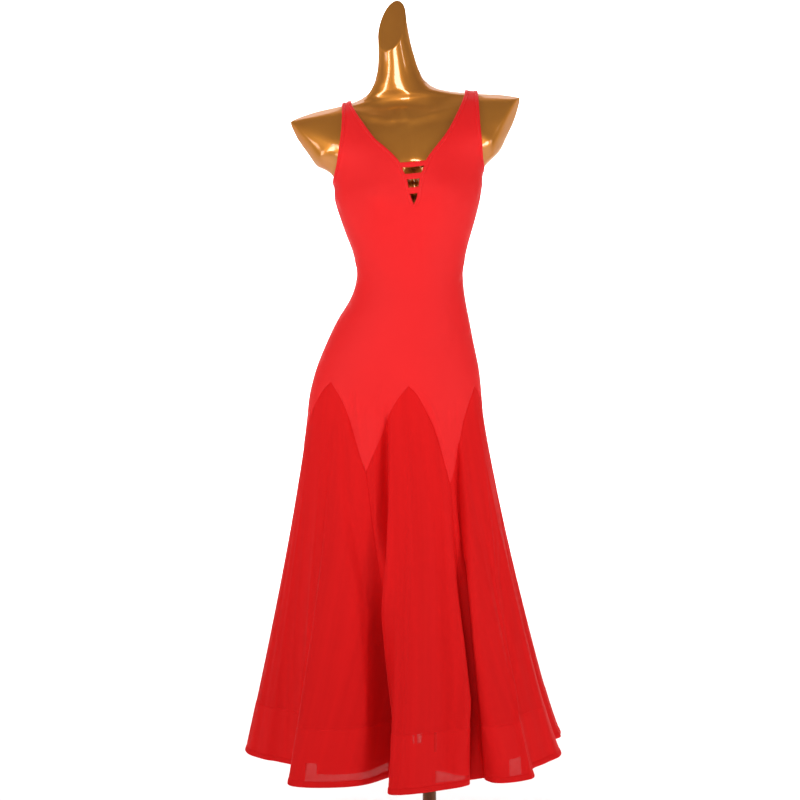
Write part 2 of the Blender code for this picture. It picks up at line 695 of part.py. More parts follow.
def neck_bar(name, turn, height, gap):
    """Narrow jersey bar across the neck slot, flush with the panel and cut to its edges."""
    rise = height / 2 / np.linalg.norm(yoke_point(0.0, turn + 0.05) - yoke_point(0.0, turn - 0.05))
    rows = []
    for t in np.linspace(turn - rise * 0.1, turn + rise * 0.1, 3):
        ends = [mirror_edge(NECK, t, side) - side * gap for side in (-1, 1)]
        rows.append(upper_row(np.linspace(*ends, 7), t))
    points = np.concatenate([row[0] for row in rows])
    normals = np.concatenate([row[1] for row in rows])
    return wall(name, points, normals, grid_quads(3, 7), JERSEY)


# ---- skirt ----------------------------------------------------------------------------------------
GODET_SHARES = (0.0, 0.1, 0.22, 0.36, 0.51, 0.67, 0.83, 1.0)
BAND_SHARES = (0.0, 0.5, 1.0)


def skirt_panel(name, row, tops, bottoms, shares, slot, thickness):
    """One cut piece of the skirt between two long seams."""
    columns = godet_columns(row)
    points = []
    normals = []
    for share in reversed(shares):
        heights = tops + (bottoms - tops) * share
        line = garment_point(columns, heights)
        line[:1] = pull_apart(line[:1], columns[:1], heights[:1], -1)
        line[-1:] = pull_apart(line[-1:], columns[-1:], heights[-1:], 1)
        points.append(line)
        normals.append(garment_normal(columns, heights))
    quads = grid_quads(len(shares), len(columns))
    return wall(name, np.concatenate(points), np.concatenate(normals), quads, slot, thickness)


def skirt():
    band_top = HEM_HEIGHT + BAND_HEIGHT
    edge_top = HEM_HEIGHT + EDGE_HEIGHT
    half = SEAM_GAP / 2
    for row in GODETS:
        columns = godet_columns(row)
        arch = arch_height(columns) - arch_gap(columns)
        level = np.ones(len(columns))
        skirt_panel("godet_" + row[0], row, arch, level * (band_top + half), GODET_SHARES,
                    GEORGETTE, CLOTH)
        skirt_panel("hem_band_" + row[0], row, level * (band_top - half),
                    level * (edge_top + half), BAND_SHARES, GEORGETTE, BAND_CLOTH)
    columns = hip_columns(GODETS[0][1], GODETS[0][1] + 359.99)
    points = []
    normals = []
    for height in (HEM_HEIGHT, edge_top - half):
        points.append(garment_point(columns, height))
        normals.append(garment_normal(columns, height))
    quads = grid_quads(2, len(columns), closed=True)
    wall("hem_edge", np.concatenate(points), np.concatenate(normals), quads, GEORGETTE, BAND_CLOTH)


# ---- dress form and stand --------------------------------------------------------------------------
FORM_COLUMNS = 32
FORM_HEIGHTS = (0.745, 0.783, 0.823, 0.863, 0.900, 0.935, 0.965, 0.995, 1.020, 1.045, 1.073,
                1.101, 1.129, 1.157, 1.185, 1.211, 1.235, 1.257, 1.275, 1.290, 1.305,
                1.321, 1.338, 1.355, 1.372, 1.387, 1.399, 1.408, 1.415, 1.421, 1.428,
                1.437, 1.450, 1.470, 1.505, 1.565, 1.645)
# lowest point of the cut, direction that the cut face looks in
FORM_CUTS = (
    ("cutter_left", (-0.1400, 0.0, 1.285), (-0.800, -0.150, -0.580)),
    ("cutter_right", (0.1640, 0.0, 1.307), (0.910, -0.120, -0.390)),
    ("cutter_neck", (-0.0400, -0.050, 1.489), (-0.220, -0.790, 0.570)),
)
CUTTER_SIZE = 0.40


def cutter(name, foot, outward):
    """Block with one face on the cut, standing on the cut's lowest point."""
    made = bpy.data.objects.new(name, bpy.data.meshes.new(name))
    cutters.objects.link(made)
    shape = bmesh.new()
    bmesh.ops.create_cube(shape, size=CUTTER_SIZE)
    out = Vector(outward).normalized()
    rise = (Vector((0, 0, 1)) - out * out.z).normalized()
    across = out.cross(rise)
    turn = Matrix((across, out, rise)).transposed().to_4x4()
    place = Vector(foot) + (out + rise) * CUTTER_SIZE / 2
    bmesh.ops.transform(shape, matrix=Matrix.Translation(place) @ turn, verts=shape.verts)
    shape.to_mesh(made.data)
    shape.free()
    made.hide_render = True
    made.display_type = "WIRE"
    return made


def form_torso():
    """Limbless dress form: torso rings, shoulders and neck cut off flat."""
    turns = np.linspace(0, 360, FORM_COLUMNS, endpoint=False)
    rings = []
    for height in FORM_HEIGHTS:
        ring = ring_point(turns, np.full(turns.shape, height))
        rings.append(ring - torso_normal(ring) * FORM_GAP)
    rings[0][:, 2] = FORM_BOTTOM
    points = np.concatenate(rings)
    faces = grid_quads(len(rings), FORM_COLUMNS, closed=True)
    faces.append(tuple(reversed(range(FORM_COLUMNS))))
    last = (len(rings) - 1) * FORM_COLUMNS
    faces.append(tuple(range(last, last + FORM_COLUMNS)))
    made = add_object("form_torso", points, faces, GOLD)
    for name, foot, outward in FORM_CUTS:
        cut = made.modifiers.new(name, "BOOLEAN")
        cut.operation = "DIFFERENCE"
        cut.object = cutter(name, foot, outward)
    return made


def turned(name, radius, low, high, bevel, slot, sides=32):
    """Round stand part between two heights, its rims bevelled."""
    bpy.ops.mesh.primitive_cylinder_add(vertices=sides, radius=radius, depth=high - low,
                                        location=(POLE_X, POLE_Y, (low + high) / 2))
    made = bpy.context.object
    made.name = name
    made.data.name = name
    for other in list(made.users_collection):
        other.objects.unlink(made)
    dress.objects.link(made)
    made.data.materials.append(slot)
    if bevel:
        rounding = made.modifiers.new("rim", "BEVEL")
        rounding.width = bevel
        rounding.segments = 2
        rounding.limit_method = "ANGLE"
    made.data.shade_smooth()
    made.data.set_sharp_from_angle(angle=math.radians(50))
    return made


def stand():
    flange_low = FORM_BOTTOM - SEAM_GAP - FLANGE_THICK
    collar_high = BASE_THICK + SEAM_GAP + COLLAR_HEIGHT
    turned("stand_base", BASE_RADIUS, 0.0, BASE_THICK, 0.003, BRONZE, 48)
    turned("stand_collar", COLLAR_RADIUS, BASE_THICK + SEAM_GAP, collar_high, 0.002, BRONZE)
    turned("stand_pole", POLE_RADIUS, collar_high + SEAM_GAP, flange_low - SEAM_GAP, 0.0, BRONZE,
           24)
    turned("stand_flange", FLANGE_RADIUS, flange_low, FORM_BOTTOM - SEAM_GAP, 0.001, BRONZE)


# ---- build --------------------------------------------------------------------------------------------
bodice_front()
bodice_back()
binding("neck_binding", neck_path())
binding("armhole_binding_left", armhole_path(-1))
binding("armhole_binding_right", armhole_path(1))
for bar in BARS:
    neck_bar(*bar)
skirt()
form_torso()
stand()
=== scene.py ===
import math

import bmesh
import bpy
import numpy as np
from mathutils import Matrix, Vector


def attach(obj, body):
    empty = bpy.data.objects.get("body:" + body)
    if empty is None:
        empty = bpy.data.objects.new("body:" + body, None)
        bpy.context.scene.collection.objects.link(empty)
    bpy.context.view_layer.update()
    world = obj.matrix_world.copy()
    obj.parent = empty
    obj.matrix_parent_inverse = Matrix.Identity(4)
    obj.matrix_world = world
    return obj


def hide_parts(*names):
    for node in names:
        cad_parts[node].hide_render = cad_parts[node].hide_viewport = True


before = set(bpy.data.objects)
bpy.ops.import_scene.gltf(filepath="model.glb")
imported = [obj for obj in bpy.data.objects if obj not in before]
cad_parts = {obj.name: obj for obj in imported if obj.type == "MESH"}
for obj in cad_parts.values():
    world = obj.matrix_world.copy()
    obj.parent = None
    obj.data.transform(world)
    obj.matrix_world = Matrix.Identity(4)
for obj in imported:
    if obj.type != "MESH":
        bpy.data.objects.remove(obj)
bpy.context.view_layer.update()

# A red ballroom dance dress on a gold dress form. Metres, +Z up, the front faces -Y.
# Every cloth piece is cut from one garment surface: rings round the torso down to the hip,
# and below it straight lines that open into the flutes of the hem.

bpy.ops.object.select_all(action="DESELECT")
bpy.context.scene.view_settings.view_transform = "Standard"


# arithmetic on shader sockets, and one class for a material

class Wire:  # a socket with arithmetic: an expression on wires adds its Math nodes
    def __init__(self, paint, socket):
        self.paint = paint
        self.socket = socket

    def calc(self, operation, *terms):
        return self.paint.make("Math", {"operation": operation}, dict(enumerate(terms)))

    def __add__(self, other):
        return self.calc("ADD", self, other)

    def __radd__(self, other):
        return self.calc("ADD", other, self)

    def __sub__(self, other):
        return self.calc("SUBTRACT", self, other)

    def __rsub__(self, other):
        return self.calc("SUBTRACT", other, self)

    def __mul__(self, other):
        return self.calc("MULTIPLY", self, other)

    def __rmul__(self, other):
        return self.calc("MULTIPLY", other, self)

    def __truediv__(self, other):
        return self.calc("DIVIDE", self, other)

    def sine(self):
        return self.calc("SINE", self)

    def over(self, edge):
        return self.calc("GREATER_THAN", self, edge)

    def under(self, edge):
        return self.calc("LESS_THAN", self, edge)

    def ramp(self, low, high, start=0.0, end=1.0):
        return self.paint.make("MapRange", {"clamp": True},
                               {0: self, 1: low, 2: high, 3: start, 4: end})


# the name of a plain value in a look, and the socket of the shader that it goes to
plainSockets = {
    "metallic": "Metallic", "roughness": "Roughness", "gloss": "Specular IOR Level",
    "edge": "Specular Tint", "sheen": "Sheen Weight", "sheenSoft": "Sheen Roughness",
    "sheenTint": "Sheen Tint", "coatRoughness": "Coat Roughness", "coatIndex": "Coat IOR",
}


class Paint:  # one material and its nodes
    def __init__(self, name):
        self.material = bpy.data.materials.new(name)
        self.material.use_nodes = True
        self.tree = self.material.node_tree
        self.tree.nodes.clear()

    def make(self, kind, settings=None, sockets=None, out=0):
        node = self.tree.nodes.new("ShaderNode" + kind)
        for key, value in (settings or {}).items():
            setattr(node, key, value)
        for key, value in (sockets or {}).items():
            if isinstance(value, Wire):
                self.tree.links.new(value.socket, node.inputs[key])
            else:
                node.inputs[key].default_value = value
        return Wire(self, node.outputs[out] if node.outputs else None)

    def tint(self, factor, first, second):  # colours go through Mix
        return self.make("Mix", {"data_type": "RGBA"}, {0: factor, 6: first, 7: second}, out=2)

    def place(self):
        return self.make("TexCoord", out=3)

    def grain(self, where, scale, detail=3.0, stretch=(1, 1, 1)):
        spot = self.make("Mapping", None, {"Vector": where, "Scale": stretch})
        return self.make("TexNoise", None, {"Vector": spot, "Scale": scale, "Detail": detail})

    def apart(self, where):
        parts = self.make("SeparateXYZ", None, {0: where}).socket.node
        return [Wire(self, parts.outputs[i]) for i in range(3)]

    def bump(self, height, strength, distance):
        return self.make("Bump", None, {"Strength": strength, "Distance": distance,
                                        "Height": height})

    def cover(self, look, sockets):  # the main shader: plain values of the look, then wires
        plain = {plainSockets[key]: value for key, value in look.items() if key in plainSockets}
        return self.make("BsdfPrincipled", None, {**plain, **sockets})

    def finish(self, surface):
        self.make("OutputMaterial", None, {"Surface": surface})
        return self.material


# finishes of the cloth, the form and the stand

jerseyLook = {
    "red": (0.860, 0.0146, 0.0164, 1), "deepRed": (0.835, 0.0134, 0.0152, 1),
    "cloud": 7.0, "cloudRange": (0.35, 0.65),
    "roughness": 0.64, "gloss": 0.18,
    "sheen": 0.02, "sheenSoft": 0.45, "sheenTint": (1.0, 0.30, 0.28, 1),
    "wale": 0.0009, "course": 0.0007,       # knit pitch across and up, metres
    "waleShare": 0.6, "courseShare": 0.4, "knit": 0.35, "knitDepth": 0.00010,
}


def jerseyPaint():
    paint = Paint("jersey")
    look = jerseyLook
    across, up, _ = paint.apart(paint.make("UVMap", {"uv_map": "cut"}))
    ribs = (across * (2 * math.pi / look["wale"])).sine()
    loops = (up * (2 * math.pi / look["course"])).sine()
    knit = ribs * look["waleShare"] + loops * look["courseShare"]
    cloudy = paint.grain(paint.place(), look["cloud"])
    return paint.finish(paint.cover(look, {
        "Base Color": paint.tint(cloudy.ramp(*look["cloudRange"]), look["deepRed"], look["red"]),
        "Normal": paint.bump(knit, look["knit"], look["knitDepth"])}))


georgetteLook = {
    # painted shade: the red darkens from the top of the skirt down to the hem, where less light
    # falls
    "red": (0.850, 0.0078, 0.0086, 1), "freeRed": (0.690, 0.0046, 0.0052, 1),
    "backed": 0.900, "free": 0.260, "streak": 0.24, "streakRange": (0.3, 0.7),
    "glow": (0.820, 0.0060, 0.0068, 1),     # light that comes through the cloth
    "through": 0.14, "doubledThrough": 0.6, "roughness": 0.70, "gloss": 0.12,
    "sheen": 0.03, "sheenSoft": 0.5, "sheenTint": (1.0, 0.25, 0.22, 1),
    "thread": 0.0006, "threadDepth": 0.00003, "crepeDepth": 0.00006, "relief": 0.5,
    "streaks": 58.0, "streakLength": 0.035, "rippleDepth": 0.0007,    # streaks in a metre of width
}
# where the fold of the band hangs in one layer: x from and to, low edge, high edge at both ends,
# -1 at the front and 1 at the back
hemWindows = (
    (-0.1717, -0.1515, 0.2255, 0.2540, 0.2540, -1), (-0.1515, -0.0300, 0.2255, 0.2375, 0.2385, -1),
    (0.0505, 0.1105, 0.2255, 0.2445, 0.2290, -1), (0.1801, 0.2006, 0.2255, 0.2520, 0.2535, -1),
    (0.0123, 0.0150, 0.2930, 0.3060, 0.3060, -1), (0.0200, 0.0275, 0.2920, 0.3060, 0.3060, -1),
    (0.0489, 0.0535, 0.2740, 0.3050, 0.3050, -1),
    (-0.1400, -0.1200, 0.2255, 0.2530, 0.2530, 1), (-0.1200, -0.0200, 0.2255, 0.2380, 0.2380, 1),
    (0.1000, 0.1650, 0.2255, 0.2440, 0.2280, 1),
)
windowAlpha = 0.81


def georgettePaint(name, doubled):
    paint = Paint(name)
    look = georgetteLook
    uv = paint.make("UVMap", {"uv_map": "cut"})
    across, up, _ = paint.apart(uv)
    crepe = paint.grain(uv, 1 / look["thread"], detail=2.0)
    threads = (across * (2 * math.pi / look["thread"])).sine() * (
        up * (2 * math.pi / look["thread"])).sine()
    streaks = paint.grain(uv, look["streaks"], 3.5, (1, look["streakLength"], 1))
    x, y, height = paint.apart(paint.place())
    # painted shade: the base colour grows darker towards the hem, full red above the unshaded
    # height
    backed = height.ramp(look["free"], look["backed"])
    relief = (crepe * look["crepeDepth"] + threads * look["threadDepth"]
              + streaks * look["rippleDepth"])
    pale = streaks.ramp(*look["streakRange"], -look["streak"], look["streak"])
    sockets = {"Base Color": paint.tint(backed + pale, look["freeRed"], look["red"]),
               "Normal": paint.bump(relief, look["relief"], 1.0)}
    if doubled:
        thin = 0.0
        for start, end, low, high, tail, side in hemWindows:
            top = (x - start) * ((tail - high) / (end - start)) + high
            window = x.over(start) * x.under(end) * height.over(low) * height.under(top)
            thin = thin + window * (y.under(0.0) if side < 0 else y.over(0.0))
        sockets["Alpha"] = 1 - thin * (1 - windowAlpha)
    cloth = paint.cover(look, sockets)
    glow = paint.make("BsdfTranslucent", None, {"Color": look["glow"]})
    share = look["through"] * (look["doubledThrough"] if doubled else 1.0)
    return paint.finish(paint.make("MixShader", None, {0: share, 1: cloth, 2: glow}))


goldLook = {
    "gold": (0.600, 0.225, 0.032, 1), "deepGold": (0.540, 0.192, 0.026, 1),
    "cloud": 9.0, "cloudRange": (0.35, 0.65),
    "edge": (0.27, 0.11, 0.03, 1),          # darker gold at a slanting look
    "metallic": 0.50, "edgeMetallic": 0.05, "metalRange": (0.30, 0.65),
    "roughness": 0.33, "gloss": 0.05,
    "coat": 0.65, "coatRange": (0.35, 0.70), "coatRoughness": 0.08, "coatIndex": 1.75,
    "skin": 160.0, "skinRelief": 0.03, "skinDepth": 0.0004,
}


def goldPaint():
    paint = Paint("gold_form")
    look = goldLook
    cloudy = paint.grain(paint.place(), look["cloud"])
    skin = paint.grain(paint.place(), look["skin"], detail=1.0)
    slant = paint.make("LayerWeight", None, {"Blend": 0.5}, out=1)     # no pale rims in the gloss
    return paint.finish(paint.cover(look, {
        "Base Color": paint.tint(cloudy.ramp(*look["cloudRange"]), look["deepGold"], look["gold"]),
        "Metallic": slant.ramp(*look["metalRange"], look["metallic"], look["edgeMetallic"]),
        "Coat Weight": slant.ramp(*look["coatRange"], look["coat"], 0.0),
        "Normal": paint.bump(skin, look["skinRelief"], look["skinDepth"])}))


bronzeLook = {
    "bronze": (0.160, 0.066, 0.034, 1), "worn": (0.260, 0.130, 0.070, 1),
    "rub": 38.0, "rubRange": (0.52, 0.75), "metallic": 0.85, "smooth": 0.24, "dull": 0.2,
    "brush": 420.0, "brushStretch": (1, 1, 0.04), "brushRelief": 0.12, "brushDepth": 0.0002,
}


def bronzePaint():
    paint = Paint("bronze_stand")
    look = bronzeLook
    rub = paint.grain(paint.place(), look["rub"], detail=5.0)
    brushed = paint.grain(paint.place(), look["brush"], 2.0, look["brushStretch"])
    return paint.finish(paint.cover(look, {
        "Base Color": paint.tint(rub.ramp(*look["rubRange"]), look["bronze"], look["worn"]),
        "Roughness": rub * look["dull"] + look["smooth"],
        "Normal": paint.bump(brushed, look["brushRelief"], look["brushDepth"])}))


threadLook = {
    "red": (0.62, 0.012, 0.014, 1), "paleRed": (0.86, 0.030, 0.032, 1),
    "fuzz": 300.0, "fuzzRange": (0.3, 0.7), "roughness": 0.45, "sheen": 0.2,
    "twist": 0.0006, "twistRelief": 0.3, "twistDepth": 0.00008,
}


def threadPaint():
    paint = Paint("thread")
    look = threadLook
    twist = (paint.apart(paint.place())[2] * (2 * math.pi / look["twist"])).sine()
    fuzz = paint.grain(paint.place(), look["fuzz"])
    return paint.finish(paint.cover(look, {
        "Base Color": paint.tint(fuzz.ramp(*look["fuzzRange"]), look["red"], look["paleRed"]),
        "Normal": paint.bump(twist, look["twistRelief"], look["twistDepth"])}))


paints = {
    "jersey": jerseyPaint(), "georgette": georgettePaint("georgette", False),
    "band": georgettePaint("georgette_band", True), "gold": goldPaint(),
    "bronze": bronzePaint(), "thread": threadPaint(),
}
print("finishes ready")


# curves and directions

def hermite(a, ma, b, mb, t):  # from a to b with slopes ma and mb
    return (a * (2 * t**3 - 3 * t**2 + 1) + ma * (t**3 - 2 * t**2 + t)
            + b * (3 * t**2 - 2 * t**3) + mb * (t**3 - t**2))


def smoothRows(table, heights):  # Catmull-Rom values of every column, the first column rising
    knots = table[:, 0]
    values = table[:, 1:]
    slopes = np.empty_like(values)
    slopes[1:-1] = (values[2:] - values[:-2]) / (knots[2:] - knots[:-2])[:, None]
    slopes[0] = (values[1] - values[0]) / (knots[1] - knots[0])
    slopes[-1] = (values[-1] - values[-2]) / (knots[-1] - knots[-2])
    h = np.clip(heights, knots[0], knots[-1])
    i = np.clip(np.searchsorted(knots, h, side="right") - 1, 0, len(knots) - 2)
    span = knots[i + 1] - knots[i]
    t = ((h - knots[i]) / span)[..., None]
    span = span[..., None]
    return hermite(values[i], slopes[i] * span, values[i + 1], slopes[i + 1] * span, t)


def ease(t):  # slow at both ends
    return t * t * (3 - 2 * t)


def bell(away, width):
    return np.exp(-(away / width) ** 2)


def unit(vectors):
    return vectors / np.linalg.norm(vectors, axis=-1, keepdims=True)


def walkLength(points):  # distance along a row of points, from its first
    return np.concatenate([[0], np.cumsum(np.linalg.norm(np.diff(points, axis=0), axis=1))])


def nearSegment(x, z, x0, z0, dx, dz):  # share along a straight segment, and distance from it
    t = np.clip(((x - x0) * dx + (z - z0) * dz) / (dx * dx + dz * dz), 0, 1)
    return t, np.hypot(x - x0 - dx * t, z - z0 - dz * t)


def turnFrom(bearing, line):  # degrees from the line, -180 to 180
    return (bearing - line + 180) % 360 - 180


# the body under the dress

# height, centre x, centre y, half width, front depth, back depth, roundness
bodyRings = np.array([
    (0.735, -0.0160, 0.000, 0.1560, 0.092, 0.114, 2.20),
    (0.804, -0.0170, 0.000, 0.1640, 0.098, 0.122, 2.20),
    (0.860, -0.0178, 0.000, 0.1605, 0.099, 0.120, 2.20),
    (0.916, -0.0140, 0.000, 0.1510, 0.097, 0.108, 2.15),
    (0.972, -0.0084, 0.000, 0.1340, 0.094, 0.094, 2.10),
    (1.010, -0.0028, 0.000, 0.1210, 0.091, 0.084, 2.10),
    (1.047, 0.0047, 0.000, 0.1062, 0.088, 0.078, 2.10),
    (1.075, 0.0080, 0.000, 0.0993, 0.087, 0.077, 2.10),
    (1.103, 0.0094, 0.000, 0.0978, 0.088, 0.079, 2.10),
    (1.141, 0.0094, 0.000, 0.1053, 0.092, 0.085, 2.10),
    (1.178, 0.0084, 0.000, 0.1174, 0.098, 0.092, 2.15),
    (1.215, 0.0075, 0.000, 0.1285, 0.104, 0.099, 2.20),
    (1.244, 0.0062, 0.001, 0.1350, 0.106, 0.103, 2.20),
    (1.272, 0.0065, 0.003, 0.1375, 0.105, 0.104, 2.20),
    (1.301, 0.0065, 0.005, 0.1490, 0.100, 0.103, 2.20),
    (1.335, 0.0065, 0.008, 0.1900, 0.088, 0.096, 2.10),
    (1.370, 0.0065, 0.010, 0.2210, 0.070, 0.080, 1.80),
    (1.397, 0.0065, 0.012, 0.2220, 0.056, 0.064, 1.50),
    (1.412, 0.0065, 0.013, 0.1760, 0.049, 0.056, 1.32),
    (1.421, 0.0065, 0.013, 0.1130, 0.048, 0.054, 1.45),
    (1.431, -0.0040, 0.013, 0.0720, 0.047, 0.052, 1.75),
    (1.447, -0.0108, 0.012, 0.0515, 0.045, 0.048, 2.00),
    (1.465, -0.0131, 0.010, 0.0430, 0.042, 0.043, 2.00),
    (1.485, -0.0152, 0.007, 0.0378, 0.039, 0.038, 2.00),
    (1.520, -0.0200, 0.003, 0.0328, 0.036, 0.033, 2.00),
    (1.562, -0.0246, -0.001, 0.0300, 0.034, 0.031, 2.00),
    (1.645, -0.0330, -0.006, 0.0290, 0.033, 0.030, 2.00),
])
body = {
    "tilt": 0.0909, "tiltStart": 0.995, "tiltFull": 1.275,      # shoulder line rising to +X
    "bustRise": 0.014, "bustSide": 0.066, "bustHeight": 1.233, "bustSpread": 0.042,
    "underarm": 1.275, "slotDepth": 0.0605, "hip": 0.840, "reach": 0.25, "gradientStep": 0.0004,
}


def tiltAt(height):
    t = np.clip((height - body["tiltStart"]) / (body["tiltFull"] - body["tiltStart"]), 0, 1)
    return body["tilt"] * ease(t)


def centreAt(height):
    return smoothRows(bodyRings, height)[..., 0]


def bustAt(xOff, height):
    across = bell(np.abs(xOff) - body["bustSide"], body["bustSpread"])
    return body["bustRise"] * across * bell(height - body["bustHeight"], body["bustSpread"])


def ringPoint(bearing, height):  # bearing in degrees from the front towards +X
    cx, cy, half, front, back, power = np.moveaxis(smoothRows(bodyRings, height), -1, 0)
    s = np.sin(np.radians(bearing))
    c = np.cos(np.radians(bearing))
    xOff = half * np.sign(s) * np.abs(s) ** (2 / power)
    y = cy - np.where(c > 0, front, back) * np.sign(c) * np.abs(c) ** (2 / power)
    y = y - bustAt(xOff, height) * np.maximum(c, 0)
    return np.stack([cx + xOff, y, height + tiltAt(height) * xOff], axis=-1)


def bodyField(xOff, y, height):  # negative inside the body, zero on it
    _, cy, half, front, back, power = np.moveaxis(smoothRows(bodyRings, height), -1, 0)
    across = np.abs(xOff) / half
    facing = np.sqrt(np.maximum(1 - np.minimum(across, 1) ** power, 0))
    yRing = np.where(y < cy, y + bustAt(xOff, height) * facing, y) - cy
    deep = np.abs(yRing) / np.where(yRing < 0, front, back)
    return across**power + deep**power - 1


def yokePoint(x, turn):
    # over the shoulder: turn 0 at the front underarm line, 1 on the ridge, 2 at the back;
    # below 0 and above 2 it runs down the ring
    x, turn = np.broadcast_arrays(np.asarray(x, float), np.asarray(turn, float))
    angle = np.radians(90) * np.clip(turn, 0, 2)
    cy = smoothRows(bodyRings, np.full(x.shape, body["underarm"]))[..., 1]
    down = np.where(turn < 0, -turn, np.where(turn > 2, turn - 2, 0)) * body["slotDepth"]
    base = body["underarm"] - down
    near = np.zeros(x.shape)
    far = np.full(x.shape, body["reach"])
    for _ in range(40):
        reach = (near + far) / 2
        h = base + reach * np.sin(angle)
        y = cy - reach * np.cos(angle)
        inside = bodyField(x - centreAt(h), y, h) < 0
        near = np.where(inside, reach, near)
        far = np.where(inside, far, reach)
    h = base + near * np.sin(angle)
    y = cy - near * np.cos(angle)
    return np.stack([x, y, h + tiltAt(h) * (x - centreAt(h))], axis=-1)


def fieldAt(points):
    x, y, z = np.moveaxis(points, -1, 0)
    h = z
    for _ in range(6):  # undo the shoulder tilt
        h = z - tiltAt(h) * (x - centreAt(h))
    return bodyField(x - centreAt(h), y, h)


def bodyGradient(points):
    step = body["gradientStep"]
    return np.stack([(fieldAt(points + axis * step) - fieldAt(points - axis * step)) / (2 * step)
                     for axis in np.eye(3)], axis=-1)


def bodyNormal(points):
    return unit(bodyGradient(points))


def ontoBody(points):  # nearest points, by Newton steps along the gradient
    for _ in range(4):
        grad = bodyGradient(points)
        points = points - grad * (fieldAt(points) / np.sum(grad * grad, axis=-1))[..., None]
    return points


# the skirt: flutes of the hem, godets, and the lines that join them to the hip

# start bearing, start reach, end bearing, end reach, valley bearing, valley reach
hemFlutes = np.array([
    (-87, 0.281, -71.5, 0.302, -46, 0.250),
    (-37.5, 0.327, -20, 0.284, 1.5, 0.207),
    (-5, 0.306, 25, 0.281, 31.5, 0.262),
    (33, 0.296, 45, 0.313, 51.5, 0.283),
    (60, 0.285, 72, 0.291, 83, 0.254),
    (92, 0.289, 104, 0.290, 117, 0.245),
    (124, 0.292, 135, 0.296, 143, 0.250),
    (149, 0.286, 159, 0.290, 167, 0.240),
    (173, 0.291, 183, 0.288, 190, 0.246),
    (195, 0.284, 205, 0.292, 213, 0.238),
    (219, 0.288, 229, 0.297, 237, 0.252),
    (242, 0.293, 254, 0.292, 263, 0.256),
])
# name, bearing of the tip before, the peak and the tip after, flutes at the hem
godets = (
    ("front_left", -98, -48.8, -21, 2), ("front", -21, 6.9, 30, 1),
    ("front_right", 30, 65.4, 113, 3), ("back_right", 113, 142, 164, 2),
    ("back", 164, 186, 208, 2), ("back_left", 208, 231, 262, 2),
)
# the zigzag seam up one side of each godet and down the other: bearing, height
zigzag = (
    ((-98, 0.722), (-89, 0.768), (-80.5, 0.804), (-72.6, 0.831), (-62.7, 0.862),
     (-56, 0.882), (-48.8, 0.898)),
    ((-48.8, 0.898), (-41.4, 0.882), (-36, 0.868), (-30.8, 0.846), (-26.2, 0.807),
     (-22.8, 0.766), (-21, 0.739)),
    ((-21, 0.739), (-13.2, 0.778), (-6.4, 0.817), (-2.2, 0.846), (1.6, 0.872), (6.9, 0.892)),
    ((6.9, 0.892), (12.1, 0.877), (17.3, 0.851), (21.1, 0.829), (24.3, 0.803), (27, 0.765),
     (30, 0.718)),
    ((30, 0.718), (34.9, 0.751), (40, 0.790), (45.4, 0.821), (52.1, 0.849), (58, 0.870),
     (65.4, 0.889)),
    ((65.4, 0.889), (74.1, 0.875), (84.4, 0.856), (95, 0.824), (105, 0.776), (113, 0.718)),
    ((113, 0.718), (118.5, 0.768), (124, 0.808), (130, 0.844), (136, 0.870),
     (142, 0.890)),
    ((142, 0.890), (148, 0.869), (153, 0.842), (158, 0.803), (161.5, 0.762),
     (164, 0.722)),
    ((164, 0.722), (168.5, 0.766), (173, 0.808), (177.5, 0.845), (181.5, 0.871),
     (186, 0.892)),
    ((186, 0.892), (190.5, 0.871), (195, 0.844), (199.5, 0.808), (204, 0.766),
     (208, 0.724)),
    ((208, 0.724), (212.5, 0.768), (217, 0.806), (221.5, 0.840), (226, 0.868),
     (231, 0.892)),
    ((231, 0.892), (237.5, 0.873), (244, 0.848), (250.5, 0.812), (257, 0.768),
     (262, 0.722)),
)
skirt = {
    "hem": 0.215, "band": 0.092, "edge": 0.010,
    "centreX": 0.003, "width": 0.286, "front": 0.284, "back": 0.276,
    "flare": 1.14, "fold": 1.7,
    "kick": 0.011, "kickBearing": 84.0, "kickSpread": 26.0, "kickPower": 11.0,
    "samples": 60, "sideShare": 0.18, "sidePower": 6,
    "probe": (0.3, 0.0008),     # degrees and metres between the points that give a normal
}


def hemLoop():
    knots = []
    for row in hemFlutes:
        for bearing, reach in row.reshape(3, 2):
            turn = math.radians(bearing)
            knots.append((reach * math.sin(turn), -reach * math.cos(turn)))
    knots = np.array(knots)
    fine = []
    count = len(knots)
    for i in range(count):
        p0, p1, p2, p3 = (knots[(i + j - 1) % count] for j in range(4))
        d1, d2, d3 = (np.linalg.norm(b - a) ** 0.5 for a, b in ((p0, p1), (p1, p2), (p2, p3)))
        m1 = (p1 - p0) / d1 - (p2 - p0) / (d1 + d2) + (p2 - p1) / d2
        m2 = (p2 - p1) / d2 - (p3 - p1) / (d2 + d3) + (p3 - p2) / d3
        for t in np.linspace(0, 1, skirt["samples"], endpoint=False):
            fine.append(hermite(p1, m1 * d2, p2, m2 * d2, t))
    fine.append(fine[0])
    return np.array(fine)


hemFine = hemLoop()
hemArc = walkLength(hemFine)


def godetSeams():  # where each long seam meets the hem: arc length and bearing
    perFlute = 3 * skirt["samples"]
    arcs = [hemArc[len(hemFlutes) * perFlute - skirt["samples"]] - hemArc[-1]]
    bearings = [hemFlutes[-1, 4] - 360]
    flute = 0
    for row in godets:
        flute += row[4]
        arcs.append(hemArc[flute * perFlute - skirt["samples"]])
        bearings.append(hemFlutes[flute - 1, 4])
    return np.array(arcs), np.array(bearings)


seamArc, seamBearing = godetSeams()


def godetShare(tau):  # the lines of a godet crowd a little at its sides
    return (1 - skirt["sideShare"]) * tau + skirt["sideShare"] * tau ** skirt["sidePower"]


def fromFirst(bearing):  # the same bearing, counted on from the first tip
    return (np.asarray(bearing, float) - godets[0][1]) % 360 + godets[0][1]


